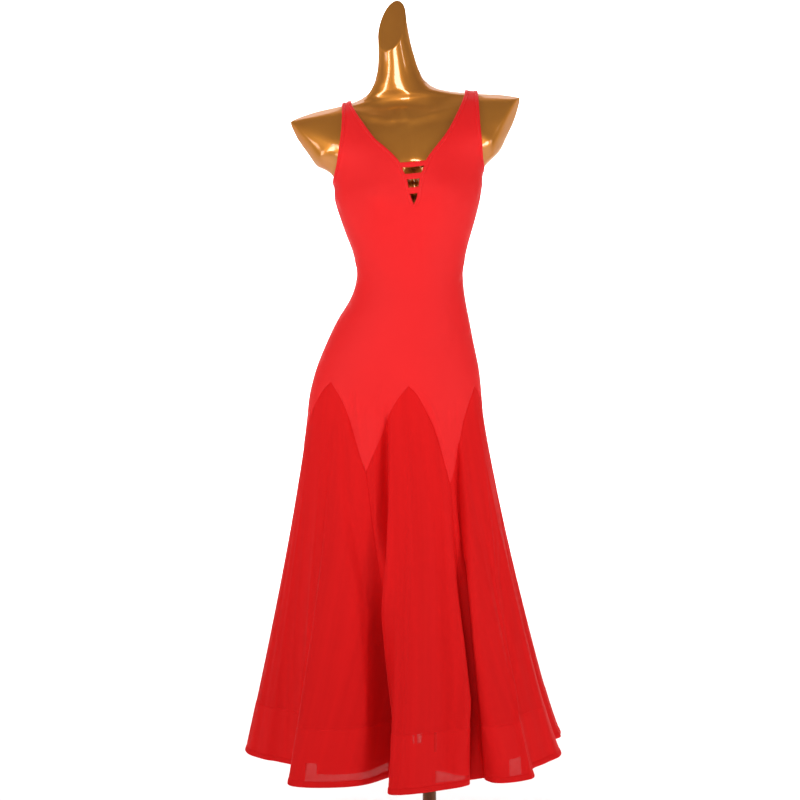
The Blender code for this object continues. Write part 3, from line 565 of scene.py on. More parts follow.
def godetPlace(bearing):  # which godet, and tau from -1 (tip) over 0 (peak) to 1 (tip)
    turn = fromFirst(bearing)
    index = np.zeros(turn.shape, int)
    tau = np.zeros(turn.shape)
    for i, row in enumerate(godets):
        here = (turn >= row[1]) & (turn <= row[3])
        before = -(row[2] - turn) / (row[2] - row[1])
        after = (turn - row[2]) / (row[3] - row[2])
        index = np.where(here, i, index)
        tau = np.where(here, np.where(turn < row[2], before, after), tau)
    return index, tau


def archHeight(bearing):  # height of the zigzag seam
    turn = fromFirst(bearing)
    height = np.zeros(turn.shape)
    for side in zigzag:
        here = (turn >= side[0][0]) & (turn <= side[-1][0])
        height = np.where(here, smoothRows(np.array(side), turn)[..., 0], height)
    return height


def dressPoint(bearing, height):  # torso rings above the hip, fluted skirt below it
    bearing, height = np.broadcast_arrays(np.asarray(bearing, float), np.asarray(height, float))
    torso = ringPoint(bearing, np.maximum(height, body["hip"]))
    fall = np.clip((body["hip"] - height) / (body["hip"] - skirt["hem"]), 0, None)
    index, tau = godetPlace(bearing)
    share = 0.5 + 0.5 * np.sign(tau) * godetShare(np.abs(tau))
    arc = (seamArc[index] + (seamArc[index + 1] - seamArc[index]) * share) % hemArc[-1]
    mean = seamBearing[index] + (seamBearing[index + 1] - seamBearing[index]) * share
    hem = np.stack([np.interp(arc, hemArc, hemFine[:, i]) for i in (0, 1)], axis=-1)
    turn = np.radians(mean)
    outward = np.stack([np.sin(turn), -np.cos(turn)], axis=-1)
    deep = np.where(np.cos(turn) > 0, skirt["front"], skirt["back"])
    plain = outward * np.stack([np.full(deep.shape, skirt["width"]), deep], axis=-1)
    plain = plain + np.array([skirt["centreX"], 0.0])
    flare = (fall ** skirt["flare"])[..., None]
    fold = (fall ** skirt["fold"])[..., None]
    flat = torso[..., :2] + (plain - torso[..., :2]) * flare + (hem - plain) * fold
    kick = (skirt["kick"] * bell(mean - skirt["kickBearing"], skirt["kickSpread"])
            * fall ** skirt["kickPower"])
    flat = flat + outward * kick[..., None]
    z = np.where(height < body["hip"], height, torso[..., 2])
    return np.concatenate([flat, z[..., None]], axis=-1)


def dressNormal(bearing, height):
    turn, rise = skirt["probe"]
    around = dressPoint(bearing + turn, height) - dressPoint(bearing - turn, height)
    upward = dressPoint(bearing, height + rise) - dressPoint(bearing, height - rise)
    return unit(np.cross(around, upward))


# folds and creases

# soft folds: bearing at the top, bearing at the hem, top height, half width in degrees and
# lift at the hem in mm; a lift below zero is a valley
softFolds = np.array([
    (-86, -84, 0.76, 2, 3), (-79, -77, 0.70, 2.4, -3.5), (-70, -71, 0.72, 2, 3),
    (-63, -64.5, 0.66, 1.8, 1.8), (66, 60, 0.86, 2.2, 3.2), (74, 71, 0.80, 2.2, -3.4),
    (83, 82, 0.78, 2, 3.4),
    (92, 93.5, 0.74, 2.2, -3.6), (104, 102, 0.74, 2, 3.8), (122, 124.5, 0.76, 2, -4),
    (131, 130, 0.82, 2, 4), (141, 143, 0.86, 1.8, -4.4), (150, 148.5, 0.82, 1.8, 4.2),
    (158, 159, 0.76, 1.5, -3.4), (171, 170, 0.78, 1.8, 4), (179.5, 181, 0.84, 1.8, -4.6),
    (187, 186, 0.87, 2, 3.6), (195.5, 196.5, 0.84, 1.8, -4.2), (202, 201, 0.78, 1.5, 3.4),
    (214, 216, 0.78, 2, -4.4), (223, 222, 0.84, 2, 4), (232, 233.5, 0.87, 2, -4.8),
    (241, 240, 0.84, 2, 4.2), (250, 251.5, 0.78, 2, -3.8), (257, 256, 0.74, 1.6, 3),
])
# drawn folds, from the top down: height, bearing, lift in mm, half width in degrees on each side
drawnFolds = (
    # the deep valley before the front godet's edge, and the crest of that edge
    ((0.862, -3.4, 0, 2.5, 0.5), (0.830, -4, -7, 4, 0.5), (0.778, -5.6, -16, 5, 0.5),
     (0.690, -7.8, -22, 6, 0.6), (0.588, -12, -24, 6, 0.7),
     (0.520, -16.6, -22, 5, 0.7), (0.460, -19.8, -20, 4.5, 0.6),
     (0.380, -20.6, -18, 4, 0.5), (0.260, -20.8, -12, 3.4, 0.5)),
    ((0.862, -2, 0, 0.8, 5), (0.820, -2.6, 3, 0.8, 5), (0.690, -5.8, 6, 0.9, 5),
     (0.588, -9.4, 8, 1.2, 5.5), (0.483, -17, 10, 1.2, 6.5), (0.380, -18.6, 11, 1.2, 6.5),
     (0.215, -18.8, 7, 1.2, 5)),
    # the same at the right front godet
    ((0.800, 39.3, 0, 2, 0.6), (0.760, 38.4, -7, 3, 0.6), (0.722, 36.4, -13, 3.5, 0.7),
     (0.661, 34.4, -18, 3.2, 0.7), (0.600, 32.6, -22, 2.6, 0.6), (0.540, 31.4, -24, 2.3, 0.5),
     (0.450, 30.6, -27, 2.2, 0.5), (0.350, 30.1, -28, 2.4, 0.5), (0.215, 29, -28, 5, 0.6)),
    ((0.820, 42.5, 0, 1, 4), (0.760, 40.5, 3, 1, 4), (0.661, 36.6, 5, 1, 3.5),
     (0.540, 33.1, 7, 0.8, 3), (0.450, 32.3, 9, 0.6, 3), (0.300, 31.8, 9, 0.6, 3),
     (0.215, 30.8, 6, 0.6, 3)),
    # left front godet: ridge, broad valley, crest before the deep valley, slanting valley
    ((0.820, -52, 0, 5, 3), (0.650, -50.5, 3, 6, 3), (0.506, -51.5, 5, 7, 2.5),
     (0.440, -51.5, 5.5, 7, 2.5), (0.365, -56, 5, 6, 2.2), (0.215, -58.5, 4, 5, 2)),
    ((0.840, -45, 0, 3, 3), (0.793, -45.6, -2.5, 3, 4), (0.600, -43.5, -5, 3, 5),
     (0.450, -47, -5.5, 2.6, 5), (0.330, -51.5, -5.5, 2.6, 5), (0.215, -54, -4, 2.6, 5)),
    ((0.700, -33, 0, 6, 3), (0.620, -30.5, 3, 8, 2.5), (0.577, -29, 5, 8, 2.2),
     (0.484, -27.5, 7, 8, 2), (0.351, -26.8, 8, 8, 2), (0.215, -26.8, 7, 8, 2)),
    ((0.840, -36, 0, 2, 2), (0.794, -33.1, -1.8, 2.2, 2.6), (0.700, -30.8, -3.5, 2.4, 2.4),
     (0.655, -29, -4, 2.4, 2.4), (0.600, -26.5, -5, 2.2, 2.2), (0.540, -24.5, -4, 2, 2),
     (0.480, -23.5, 0, 2, 2)),
    # front godet: narrow ridge, broad valley, side ridges
    ((0.850, 7.4, 0, 1.2, 1.6), (0.760, 5, 2.2, 1.2, 1.6), (0.623, 2.9, 2.6, 1.2, 1.6),
     (0.490, 0.8, 2.2, 1, 1.4), (0.361, 0.5, 1.6, 1, 1.4), (0.215, 0.2, 2, 1, 1.4)),
    ((0.840, 12, 0, 4, 4), (0.743, 15, -3.5, 6, 4), (0.656, 18, -7, 8, 5),
     (0.560, 18, -8, 8, 6), (0.450, 17, -8, 8, 6), (0.340, 17, -9, 8, 6),
     (0.215, 17, -9, 8, 6)),
    ((0.560, 26, 0, 4, 2), (0.450, 26.3, 8, 4, 2), (0.340, 26.3, 13, 4, 2),
     (0.215, 26, 8, 4.5, 2)),
    ((0.800, 21, 0, 1.6, 1.8), (0.700, 24, 1.6, 1.6, 1.8), (0.586, 23.4, 2.2, 2, 2),
     (0.452, 22.4, 2.4, 2, 1.8), (0.323, 21.2, 2, 1.8, 1.8), (0.215, 21, 1.6, 1.8, 1.8)),
    ((0.780, -13, 0, 1.5, 1.5), (0.740, -15, 2, 1.6, 1.6), (0.660, -18, 2.4, 1.6, 1.6),
     (0.600, -19.5, 0, 1.4, 1.4)),
    # right front godet: the long sharp ridge and the slack cloth beside it
    ((0.800, 66, 0, 2.4, 2), (0.720, 60, 1.5, 2.4, 1.8), (0.620, 53.5, 2.6, 2, 1.2),
     (0.547, 49, 4, 1.6, 0.8), (0.470, 46.5, 5, 1.4, 0.7), (0.374, 42.3, 5, 1.1, 0.6),
     (0.311, 39.8, 5, 0.9, 0.5), (0.215, 39.4, 4, 0.9, 0.6)),
    ((0.700, 72, 0, 3, 3), (0.547, 55, -3, 3, 3), (0.420, 50, -4, 2.4, 2.4),
     (0.311, 44.5, -4, 1.6, 2), (0.215, 43.5, -3, 1.6, 2)),
)
# bearing and height of both ends, half width in mm, lift in mm
jerseyCreases = np.array([
    (-26.8, 0.874, -24.6, 0.822, 3.2, -2.2), (-23.5, 0.868, -22, 0.800, 3, 1.4),
    (-19.5, 0.862, -19.8, 0.770, 3.2, -1.9), (-12.4, 0.876, -9.6, 0.826, 2.8, -2.2),
    (-9, 0.884, -5.5, 0.846, 2.8, 1.4), (-31.5, 0.860, -28.5, 0.805, 2.8, 1.4),
    (14.2, 0.880, 22.5, 0.822, 3.6, -2.4), (22.5, 0.822, 28.5, 0.764, 3.4, -2.2),
    (19, 0.872, 27, 0.815, 3.2, 1.6), (33, 0.850, 34.3, 0.760, 2.8, -1.8),
    (41.5, 0.866, 38.8, 0.805, 2.8, -1.2), (18, 0.940, 34, 0.966, 16, -1.8),
    (34, 0.966, 52, 1.030, 13, -1.2), (-44, 0.985, -68, 1.012, 14, -1),
    (-58, 0.945, -80, 0.955, 12, 1), (62, 1.075, 88, 1.090, 6, -1.1),
    (-60, 1.085, -88, 1.096, 6, -1.1), (66, 1.098, 90, 1.116, 5, 0.9),
    (-66, 1.108, -90, 1.122, 5, 0.9), (-72, 1.218, -90, 1.262, 6, -1.2),
    (72, 1.218, 90, 1.262, 6, -1.2), (4, 1.190, 6, 1.120, 9, -0.9),
    (100, 0.868, 110, 0.805, 3.2, -1.3), (120, 0.868, 116, 0.800, 3.2, -1.3),
    (128, 0.878, 121, 0.822, 3, 0.9), (152, 0.874, 159, 0.815, 3.2, -1.5),
    (172, 0.880, 167, 0.820, 3.2, -1.5), (176, 0.874, 170, 0.830, 2.8, 0.9),
    (198, 0.876, 204, 0.816, 3.2, -1.5), (219, 0.874, 212, 0.812, 3.2, -1.5),
    (246, 0.872, 256, 0.806, 3.2, -1.4), (150, 1.060, 212, 1.052, 6, -1.3),
    (140, 1.078, 220, 1.074, 6, 1), (152, 1.098, 208, 1.094, 6, -1.2),
    (146, 1.022, 214, 1.018, 7, -1), (110, 1.230, 96, 1.266, 6, -1.2),
    (250, 1.230, 264, 1.266, 6, -1.2), (-30, 0.845, -23, 0.775, 7, -4.2),
])
degree = 0.0027   # metres round the hip in a degree
creases = {
    "foldGrowth": 0.8, "topWidth": 0.6, "endFade": 0.12, "seamDip": 0.0009, "seamWidth": 0.0016,
}


def creaseLift(bearing, height):
    bearing, height = np.broadcast_arrays(np.asarray(bearing, float), np.asarray(height, float))
    lift = np.zeros(bearing.shape)
    for top, low, start, width, rise in softFolds:
        t = np.clip((start - height) / (start - skirt["hem"]), 0, 1)
        off = turnFrom(bearing, top + (low - top) * t)
        wide = width * (creases["topWidth"] + (1 - creases["topWidth"]) * t)
        lift += rise / 1000 * t ** creases["foldGrowth"] * bell(off, wide)
    for knots in drawnFolds:
        rows = np.array(knots)[::-1]
        line, rise, before, after = (np.interp(height, rows[:, 0], rows[:, i])
                                     for i in (1, 2, 3, 4))
        off = turnFrom(bearing, line)
        lift += rise / 1000 * bell(off, np.where(off < 0, before, after))
    for b0, h0, b1, h1, width, rise in jerseyCreases:
        middle = (b0 + b1) / 2
        t, away = nearSegment(turnFrom(bearing, middle) * degree, height,
                              (b0 - middle) * degree, h0, (b1 - b0) * degree, h1 - h0)
        along = np.sin(np.pi * (creases["endFade"] + (1 - 2 * creases["endFade"]) * t))
        lift += rise / 1000 * along * bell(away, width / 1000)
    return lift


def seamDip(away, deep=creases["seamDip"]):  # the cloth is drawn in along a sewn edge
    return -deep * bell(away, creases["seamWidth"])


# how a piece of cloth is made

def cutPlan(rows, anchor, anchorAcross, below=None):
    # flat coordinates in metres: level distance from one column, and up the columns
    rows = np.asarray(rows)
    step = np.linalg.norm(np.diff(rows, axis=1)[..., :2], axis=2)
    across = np.concatenate([np.zeros((len(rows), 1)), np.cumsum(step, axis=1)], axis=1)
    across = across - across[:, anchor:anchor + 1 or None] + np.reshape(anchorAcross, (-1, 1))
    rise = np.linalg.norm(np.diff(rows, axis=0), axis=2)
    up = np.concatenate([np.zeros((1, rows.shape[1])), np.cumsum(rise, axis=0)])
    if below is not None:
        up = up + below
    return np.stack([across, up], axis=-1)


def gridQuads(rows, columns, start=0, closed=False):
    quads = []
    for r in range(rows - 1):
        for c in range(columns if closed else columns - 1):
            d = (c + 1) % columns
            a, b = start + r * columns + c, start + r * columns + d
            quads.append((a, b, b + columns, a + columns))
    return quads


def addPiece(name, points, faces, paint, cut=None):
    mesh = bpy.data.meshes.new(name)
    mesh.from_pydata(np.asarray(points, float).tolist(), [], faces)
    if cut is not None:
        layer = mesh.uv_layers.new(name="cut")
        corner = np.zeros(len(mesh.loops), int)
        mesh.loops.foreach_get("vertex_index", corner)
        layer.data.foreach_set("uv", np.asarray(cut, float)[corner].ravel())
    mesh.materials.append(paints[paint])
    piece = bpy.data.objects.new(name, mesh)
    bpy.context.scene.collection.objects.link(piece)
    return piece


def pick(piece):
    bpy.ops.object.select_all(action="DESELECT")
    piece.select_set(True)
    bpy.context.view_layer.objects.active = piece


def applyOn(piece, kind, **settings):
    pick(piece)
    modifier = piece.modifiers.new(kind.lower(), kind)
    for key, value in settings.items():
        setattr(modifier, key, value)
    bpy.ops.object.modifier_apply(modifier=modifier.name)


def smooth(piece, angle):
    pick(piece)
    bpy.ops.object.shade_smooth_by_angle(angle=math.radians(angle))
    bpy.ops.object.select_all(action="DESELECT")


def outward(piece):
    pick(piece)
    bpy.ops.object.mode_set(mode="EDIT")
    bpy.ops.mesh.select_all(action="SELECT")
    bpy.ops.mesh.normals_make_consistent(inside=False)
    bpy.ops.object.mode_set(mode="OBJECT")


def clothPiece(name, rows, normals, lifts, quads, cut, paint, thickness):
    points, normals, lifts = (np.concatenate(part) for part in (rows, normals, lifts))
    piece = addPiece(name, points + normals * lifts[:, None], quads, paint, cut.reshape(-1, 2))
    applyOn(piece, "SOLIDIFY", thickness=thickness, offset=1.0, use_even_offset=False)
    smooth(piece, 55)
    return piece


def loopPiece(name, rings, run, girth, paint):  # a closed strip: its section carried round a path
    points = np.stack(rings, axis=1)
    count, size = points.shape[:2]
    cut = np.stack(np.meshgrid(run, np.arange(size) * girth, indexing="ij"), axis=-1)
    faces = []
    for i in range(count):
        j = (i + 1) % count
        for k in range(size):
            m = (k + 1) % size
            faces.append((i * size + k, i * size + m, j * size + m, j * size + k))
    piece = addPiece(name, points.reshape(-1, 3), faces, paint, cut.reshape(-1, 2))
    outward(piece)
    smooth(piece, 60)
    return piece


def wear(piece, slot, *nodes):  # rides on the part and stands for the nodes; the slot is not used
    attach(piece, "root")
    if nodes:
        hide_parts(*nodes)


fineRows = (0.0006, 0.0013, 0.0022, 0.0034, 0.0052)     # metres from a sewn edge
wideRows = (0.0010, 0.0022, 0.0038, 0.0058, 0.0085)
evenFrom = 1.4      # the even rows start this many times as far off


def graded(count, ends, length, fine=fineRows):
    # shares from 0 to 1, with close rows at the ends that are asked for
    stops = list(np.linspace(0, 1, count))
    near = [f / length for f in fine]
    if ends[0]:
        stops = [0.0] + near + [s for s in stops if s > near[-1] * evenFrom]
    if ends[1]:
        stops = [s for s in stops if s < 1 - near[-1] * evenFrom]
        stops += [1 - f for f in near[::-1]] + [1.0]
    return np.array(stops)


# bodice

# turn, middle of the neck, half its width
neckEdge = np.array([
    (-1.00, 0.0155, 0.0000),
    (-0.80, 0.0155, 0.0053),
    (-0.57, 0.0148, 0.0082),
    (-0.28, 0.0145, 0.0115),
    (-0.07, 0.0140, 0.0150),
    (0.10, 0.0137, 0.0235),
    (0.20, 0.0130, 0.0340),
    (0.33, 0.0118, 0.0500),
    (0.44, 0.0102, 0.0635),
    (0.64, 0.0086, 0.0812),
    (0.88, 0.0060, 0.1020),
    (1.00, 0.0055, 0.1060),
])
# turn, middle between the armholes, half the distance between them
armholeEdge = np.array([
    (0.00, 0.0065, 0.1381),
    (0.15, 0.0067, 0.1372),
    (0.34, 0.0085, 0.1305),
    (0.55, 0.0093, 0.1262),
    (0.75, 0.0098, 0.1243),
    (1.00, 0.0088, 0.1243),
    (1.20, 0.0085, 0.1250),
    (1.50, 0.0078, 0.1275),
    (1.80, 0.0068, 0.1345),
    (2.00, 0.0065, 0.1381),
])
bodice = {
    "lift": 0.0006, "thickness": 0.0008, "shoulderSeam": 0.97, "backNeckTurn": 1.80,
    "lowerRows": 112, "slotRows": 12, "frontRows": 64, "backRows": 74, "strapColumns": 10,
    "columnAngle": 1.8,                     # degrees
    "lowerLength": 0.4, "upperLength": 0.16, "slotFoot": -0.97,
    "fade": 0.12,                           # the lower creases die out above the underarm
}


def edgeAt(table, turn, side):
    middle, half = np.moveaxis(smoothRows(table, np.asarray(turn, float)), -1, 0)
    return middle + side * half


def ringBearing(x, height):  # bearing of the front ring point with this x
    cx, half, power = smoothRows(bodyRings, np.asarray(height, float))[[0, 2, 5]]
    share = np.clip((x - cx) / half, -1, 1)
    return float(np.degrees(np.arcsin(np.sign(share) * np.abs(share) ** (power / 2))))


def jerseyColumns(low, high):  # bearings with a column on every tip and peak of the zigzag
    knots = {low, high}
    for row in godets:
        for turn in row[1:4]:
            for near in (turn - 360, turn, turn + 360):
                if low < near < high:
                    knots.add(near)
    knots = sorted(knots)
    columns = [knots[0]]
    for a, b in zip(knots, knots[1:]):
        count = max(4, round((b - a) / bodice["columnAngle"]))
        columns += list(np.linspace(a, b, count + 1)[1:])
    return np.array(columns)


def archSlope(bearing, step=0.1):  # rise of the zigzag seam per metre along it
    return (archHeight(bearing + step) - archHeight(bearing - step)) / (2 * step * degree)


def sideAway(points):  # distance from the nearer long seam, along the row
    along = walkLength(points)
    return np.minimum(along, along[-1] - along)


def lowerBodice(columns, even, top):
    # rows from the zigzag seam to a level line; the columns slide from one set to the other
    low = archHeight(columns)
    shares = graded(bodice["lowerRows"], (1, 0), bodice["lowerLength"], wideRows)
    rows, normals, lifts = [], [], []
    steep = 1 / np.sqrt(1 + archSlope(columns) ** 2)
    for share in shares:
        bearings = columns + (even - columns) * share
        heights = low + (top - low) * share
        points = dressPoint(bearings, heights)
        rows.append(points)
        normals.append(dressNormal(bearings, heights))
        lifts.append(bodice["lift"] + creaseLift(bearings, heights)
                     + seamDip((heights - low) * steep) + seamDip(sideAway(points)))
    return rows, normals, lifts


def frontBodice():
    columns = jerseyColumns(-90.0, 90.0)
    wide = len(columns)
    centre = int(np.argmin(np.abs(columns - godets[1][2])))
    foot = body["underarm"] - body["slotDepth"]
    middle = ringBearing(neckEdge[0, 1], foot)
    even = np.concatenate([np.linspace(-90, middle, centre + 1),
                           np.linspace(middle, 90, wide - centre)[1:]])
    rows, normals, lifts = lowerBodice(columns, even, foot)
    plan = cutPlan(rows, centre, 0.0)
    cut = [plan.reshape(-1, 2)]
    quads = gridQuads(len(rows), wide)
    total = len(rows) * wide
    top = total - wide
    seam = bodice["shoulderSeam"]
    for side, first, count in ((-1, top, centre + 1), (1, top + centre, wide - centre)):
        half, halfNormals, halfLifts = [], [], []
        for turn in np.linspace(bodice["slotFoot"], 0, bodice["slotRows"]):
            height = body["underarm"] + turn * body["slotDepth"]
            slot = ringBearing(edgeAt(neckEdge, turn, side), height)
            ends = (-90, slot) if side < 0 else (slot, 90)
            bearings = np.linspace(*ends, count)
            half.append(dressPoint(bearings, height))
            halfNormals.append(dressNormal(bearings, height))
            along = np.abs(bearings - side * 90) * degree
            halfLifts.append(bodice["lift"] + creaseLift(bearings, height) + seamDip(along))
        xs = half[-1][:, 0]
        shares = (xs - xs[0]) / (xs[-1] - xs[0])
        last = halfLifts[-1]
        for turn in graded(bodice["frontRows"], (0, 1), bodice["upperLength"])[1:] * seam:
            hole, neck = edgeAt(armholeEdge, turn, side), edgeAt(neckEdge, turn, side)
            start, end = (hole, neck) if side < 0 else (neck, hole)
            points = yokePoint(start + (end - start) * shares, turn)
            half.append(points)
            halfNormals.append(bodyNormal(points))
            fade = max(0.0, 1 - turn / bodice["fade"])
            halfLifts.append(last * fade + bodice["lift"] * (1 - fade)
                             + seamDip((seam - turn) * bodice["upperLength"]))
        for c in range(count - 1):
            quads.append((first + c, first + c + 1, total + c + 1, total + c))
        quads += gridQuads(len(half), count, total)
        anchor = count - 1 if side < 0 else 0
        edge = np.array([row[anchor, 0] - neckEdge[0, 1] for row in half])
        below = plan[-1, :centre + 1, 1] if side < 0 else plan[-1, centre:, 1]
        cut.append(cutPlan(half, anchor, edge, below).reshape(-1, 2))
        rows += half
        normals += halfNormals
        lifts += halfLifts
        total += len(half) * count
    return clothPiece("bodiceFront", rows, normals, lifts, quads, np.concatenate(cut), "jersey",
                      bodice["thickness"])


def backNeck(angle):  # x and turn of the back neckline, from the right strap to the left
    middle, half = smoothRows(neckEdge, np.asarray(1.0))
    seam = bodice["shoulderSeam"]
    return (middle + half * np.cos(angle),
            seam + (bodice["backNeckTurn"] - seam) * np.sin(angle))


def backBodice():
    columns = jerseyColumns(90.0, 270.0)
    wide = len(columns)
    even = np.linspace(90, 270, wide)
    rows, normals, lifts = lowerBodice(columns, even, body["underarm"])
    strapCount = bodice["strapColumns"]
    strap = np.arange(strapCount + 1) / strapCount
    seam = bodice["shoulderSeam"]
    scoopX, scoopTurn = backNeck(np.linspace(0, np.pi, wide - 2 * strapCount))
    right = [edgeAt(armholeEdge, seam, 1), scoopX[0]]
    left = [scoopX[-1], edgeAt(armholeEdge, seam, -1)]
    topX = np.concatenate([np.interp(strap[:-1], (0, 1), right), scoopX,
                           np.interp(strap[1:], (0, 1), left)])
    flat = np.full(strapCount, seam)
    topTurn = np.concatenate([flat, np.maximum(scoopTurn, seam), flat])
    baseX = rows[-1][:, 0]
    across = np.abs(np.linspace(-1, 1, wide))
    sides = np.sign(np.linspace(1, -1, wide))
    last = lifts[-1]
    for share in graded(bodice["backRows"], (0, 1), bodice["upperLength"])[1:]:
        turns = 2 + (topTurn - 2) * share
        xs = baseX + (topX - baseX) * share
        for side, column in ((1, 0), (-1, -1)):
            bend = edgeAt(armholeEdge, turns[column], side) - xs[column]
            xs = xs + bend * np.where(sides == side, across**2, 0)
        points = yokePoint(xs, turns)
        rows.append(points)
        normals.append(bodyNormal(points))
        fade = max(0.0, 1 - share / bodice["fade"])
        strapTop = np.where(topTurn < seam + 0.01, (1 - share) * bodice["upperLength"], 1.0)
        lifts.append(last * fade + bodice["lift"] * (1 - fade) + seamDip(strapTop))
    return clothPiece("bodiceBack", rows, normals, lifts, gridQuads(len(rows), wide),
                      cutPlan(rows, wide // 2, 0.0), "jersey", bodice["thickness"])


front = frontBodice()
back = backBodice()
wear(front, "jersey", "bodice_front")
wear(back, "jersey", "bodice_back")
print("bodice cut")


# bindings, neck bars and their stitching

binding = {
    "width": 0.0060,
    # share of the width, lift in mm: a folded strip wrapped round the edge of the panel
    "profile": ((0.10, 0.2), (-0.04, 0.4), (-0.09, 1.1), (-0.03, 1.9), (0.16, 2.3), (0.45, 2.35),
                (0.74, 2.3), (0.94, 2.0), (1.00, 1.5), (0.80, 1.4)),
    "stitchAt": 0.80, "stitchLift": 0.00230, "stitchPitch": 0.0030, "stitchLength": 0.0021,
    "stitchWidth": 0.00050, "foldWidth": 0.0014, "slotTurns": (-0.985, 0.94),
    "neckPoints": 620, "armholePoints": 300,
}


def evenPath(points, count):  # the same closed path with its points evenly spaced
    closed = np.concatenate([points, points[:1]])
    run = walkLength(closed)
    stops = np.linspace(0, run[-1], count, endpoint=False)
    return np.stack([np.interp(stops, run, closed[:, i]) for i in range(3)], axis=-1)


def pathFrame(path):  # direction along a closed path, and the side that lies to the left of it
    along = np.roll(path, -1, axis=0) - np.roll(path, 1, axis=0)
    along = unit(along)
    return along, unit(np.cross(bodyNormal(path), along))


def stitchRun(name, spots, along, normals):  # one row of thread, a small bead for each stitch
    ring = 5
    stations = ((-0.5, 0.0), (-0.36, 0.8), (0.0, 1.0), (0.36, 0.8), (0.5, 0.0))
    across = np.cross(normals, along)
    points, faces = [], []
    for spot, ahead, up, side in zip(spots, along, normals, across):
        start = len(points)
        for run, girth in stations[1:-1]:
            for k in range(ring):
                turn = 2 * math.pi * k / ring
                out = side * math.cos(turn) + up * math.sin(turn)
                points.append(spot + ahead * run * binding["stitchLength"]
                              + out * girth * binding["stitchWidth"] / 2)
        points.append(spot - ahead * binding["stitchLength"] / 2)
        points.append(spot + ahead * binding["stitchLength"] / 2)
        tail, head = start + 3 * ring, start + 3 * ring + 1
        for k in range(ring):
            m = (k + 1) % ring
            for r in range(2):
                a = start + r * ring
                faces.append((a + k, a + ring + k, a + ring + m, a + m))
            faces.append((tail, start + k, start + m))
            faces.append((head, start + 2 * ring + m, start + 2 * ring + k))
    piece = addPiece(name, points, faces, "thread")
    outward(piece)
    smooth(piece, 60)
    return piece


def bindingStrip(name, path):
    _, inward = pathFrame(path)
    rings = []
    for share, lift in binding["profile"]:
        spot = ontoBody(path + inward * binding["width"] * share)
        rings.append(spot + bodyNormal(spot) * lift / 1000)
    run = np.arange(len(path)) * np.linalg.norm(path[1] - path[0])
    piece = loopPiece(name, rings, run, binding["foldWidth"], "jersey")
    line = evenPath(path, round(walkLength(path)[-1] / binding["stitchPitch"]))
    along, inward = pathFrame(line)
    spots = ontoBody(line + inward * binding["width"] * binding["stitchAt"])
    normals = bodyNormal(spots)
    thread = stitchRun(name + "Stitches", spots + normals * binding["stitchLift"], along, normals)
    return piece, thread


def neckPath():  # from the slot's foot up the left side, round the back and down the right
    turns = np.linspace(*binding["slotTurns"], 400)
    left = [(edgeAt(neckEdge, t, -1), t) for t in turns]
    right = [(edgeAt(neckEdge, t, 1), t) for t in turns[::-1]]
    scoop = [backNeck(a) for a in np.radians(np.linspace(180, 0, 360))]
    xs, turns = np.array([(neckEdge[0, 1], -1.0)] + left + scoop + right, float).T
    return evenPath(yokePoint(xs, turns), binding["neckPoints"])


def armholePath(side):  # from the underarm up the front and down the back
    turns = 1 - np.cos(np.radians(np.linspace(0, 180, 361)[1:-1]))
    loop = yokePoint(edgeAt(armholeEdge, turns, side), turns)
    foot = ringPoint(np.array([90.0 * side]), np.array([body["underarm"]]))
    path = evenPath(np.concatenate([foot, loop]), binding["armholePoints"])
    return path if side > 0 else path[::-1]


for name, node, path in (("neckBinding", "neck_binding", neckPath()),
                         ("armholeBindingLeft", "armhole_binding_left", armholePath(-1)),
                         ("armholeBindingRight", "armhole_binding_right", armholePath(1))):
    strip, thread = bindingStrip(name, path)
    wear(strip, "jersey", node)
    wear(thread, "jersey")
print("bindings sewn")

# node, middle turn, height of the bar, sag at its middle
neckBars = (
    ("neck_bar_1", 0.072, 0.0092, 0.0008),
    ("neck_bar_2", -0.165, 0.0098, 0.0005),
    ("neck_bar_3", -0.58, 0.0106, 0.0003),
)
barLook = {
    "lift": 0.0004, "thickness": 0.0014, "rows": 13, "columns": 41, "underEdge": 0.0022,
    "crown": 0.0005, "bow": 0.0004, "bevel": 0.0005, "probe": 0.05,
}


def neckBar(node, turn, height, sag):  # a folded strip whose ends are caught under the binding
    probe = barLook["probe"]
    span = np.linalg.norm(yokePoint(0.0, turn + probe) - yokePoint(0.0, turn - probe))
    rise = height / 2 / span * (2 * probe)
    rows, lifts = [], []
    rounded = np.sqrt(1 - np.linspace(-1, 1, barLook["rows"]) ** 2)
    for t, crown in zip(np.linspace(turn - rise, turn + rise, barLook["rows"]), rounded):
        ends = [edgeAt(neckEdge, t, side) + side * barLook["underEdge"] for side in (-1, 1)]
        xs = np.linspace(*ends, barLook["columns"])
        dip = np.sin(np.linspace(0, np.pi, barLook["columns"]))
        rows.append(yokePoint(xs, t - dip * sag / span * (2 * probe)))
        lifts.append(barLook["lift"] + barLook["crown"] * crown + barLook["bow"] * dip)
    piece = clothPiece("neckBar" + node[-1], rows, bodyNormal(np.array(rows)), lifts,
                       gridQuads(len(rows), barLook["columns"]), cutPlan(rows, 0, 0.0), "jersey",
                       barLook["thickness"])
    applyOn(piece, "BEVEL", width=barLook["bevel"], segments=2, limit_method="ANGLE",
            angle_limit=math.radians(50))
    smooth(piece, 50)
    return piece


for row in neckBars:
    wear(neckBar(*row), "jersey", row[0])
print("neck bars in")


# godets, hem band and rolled edge

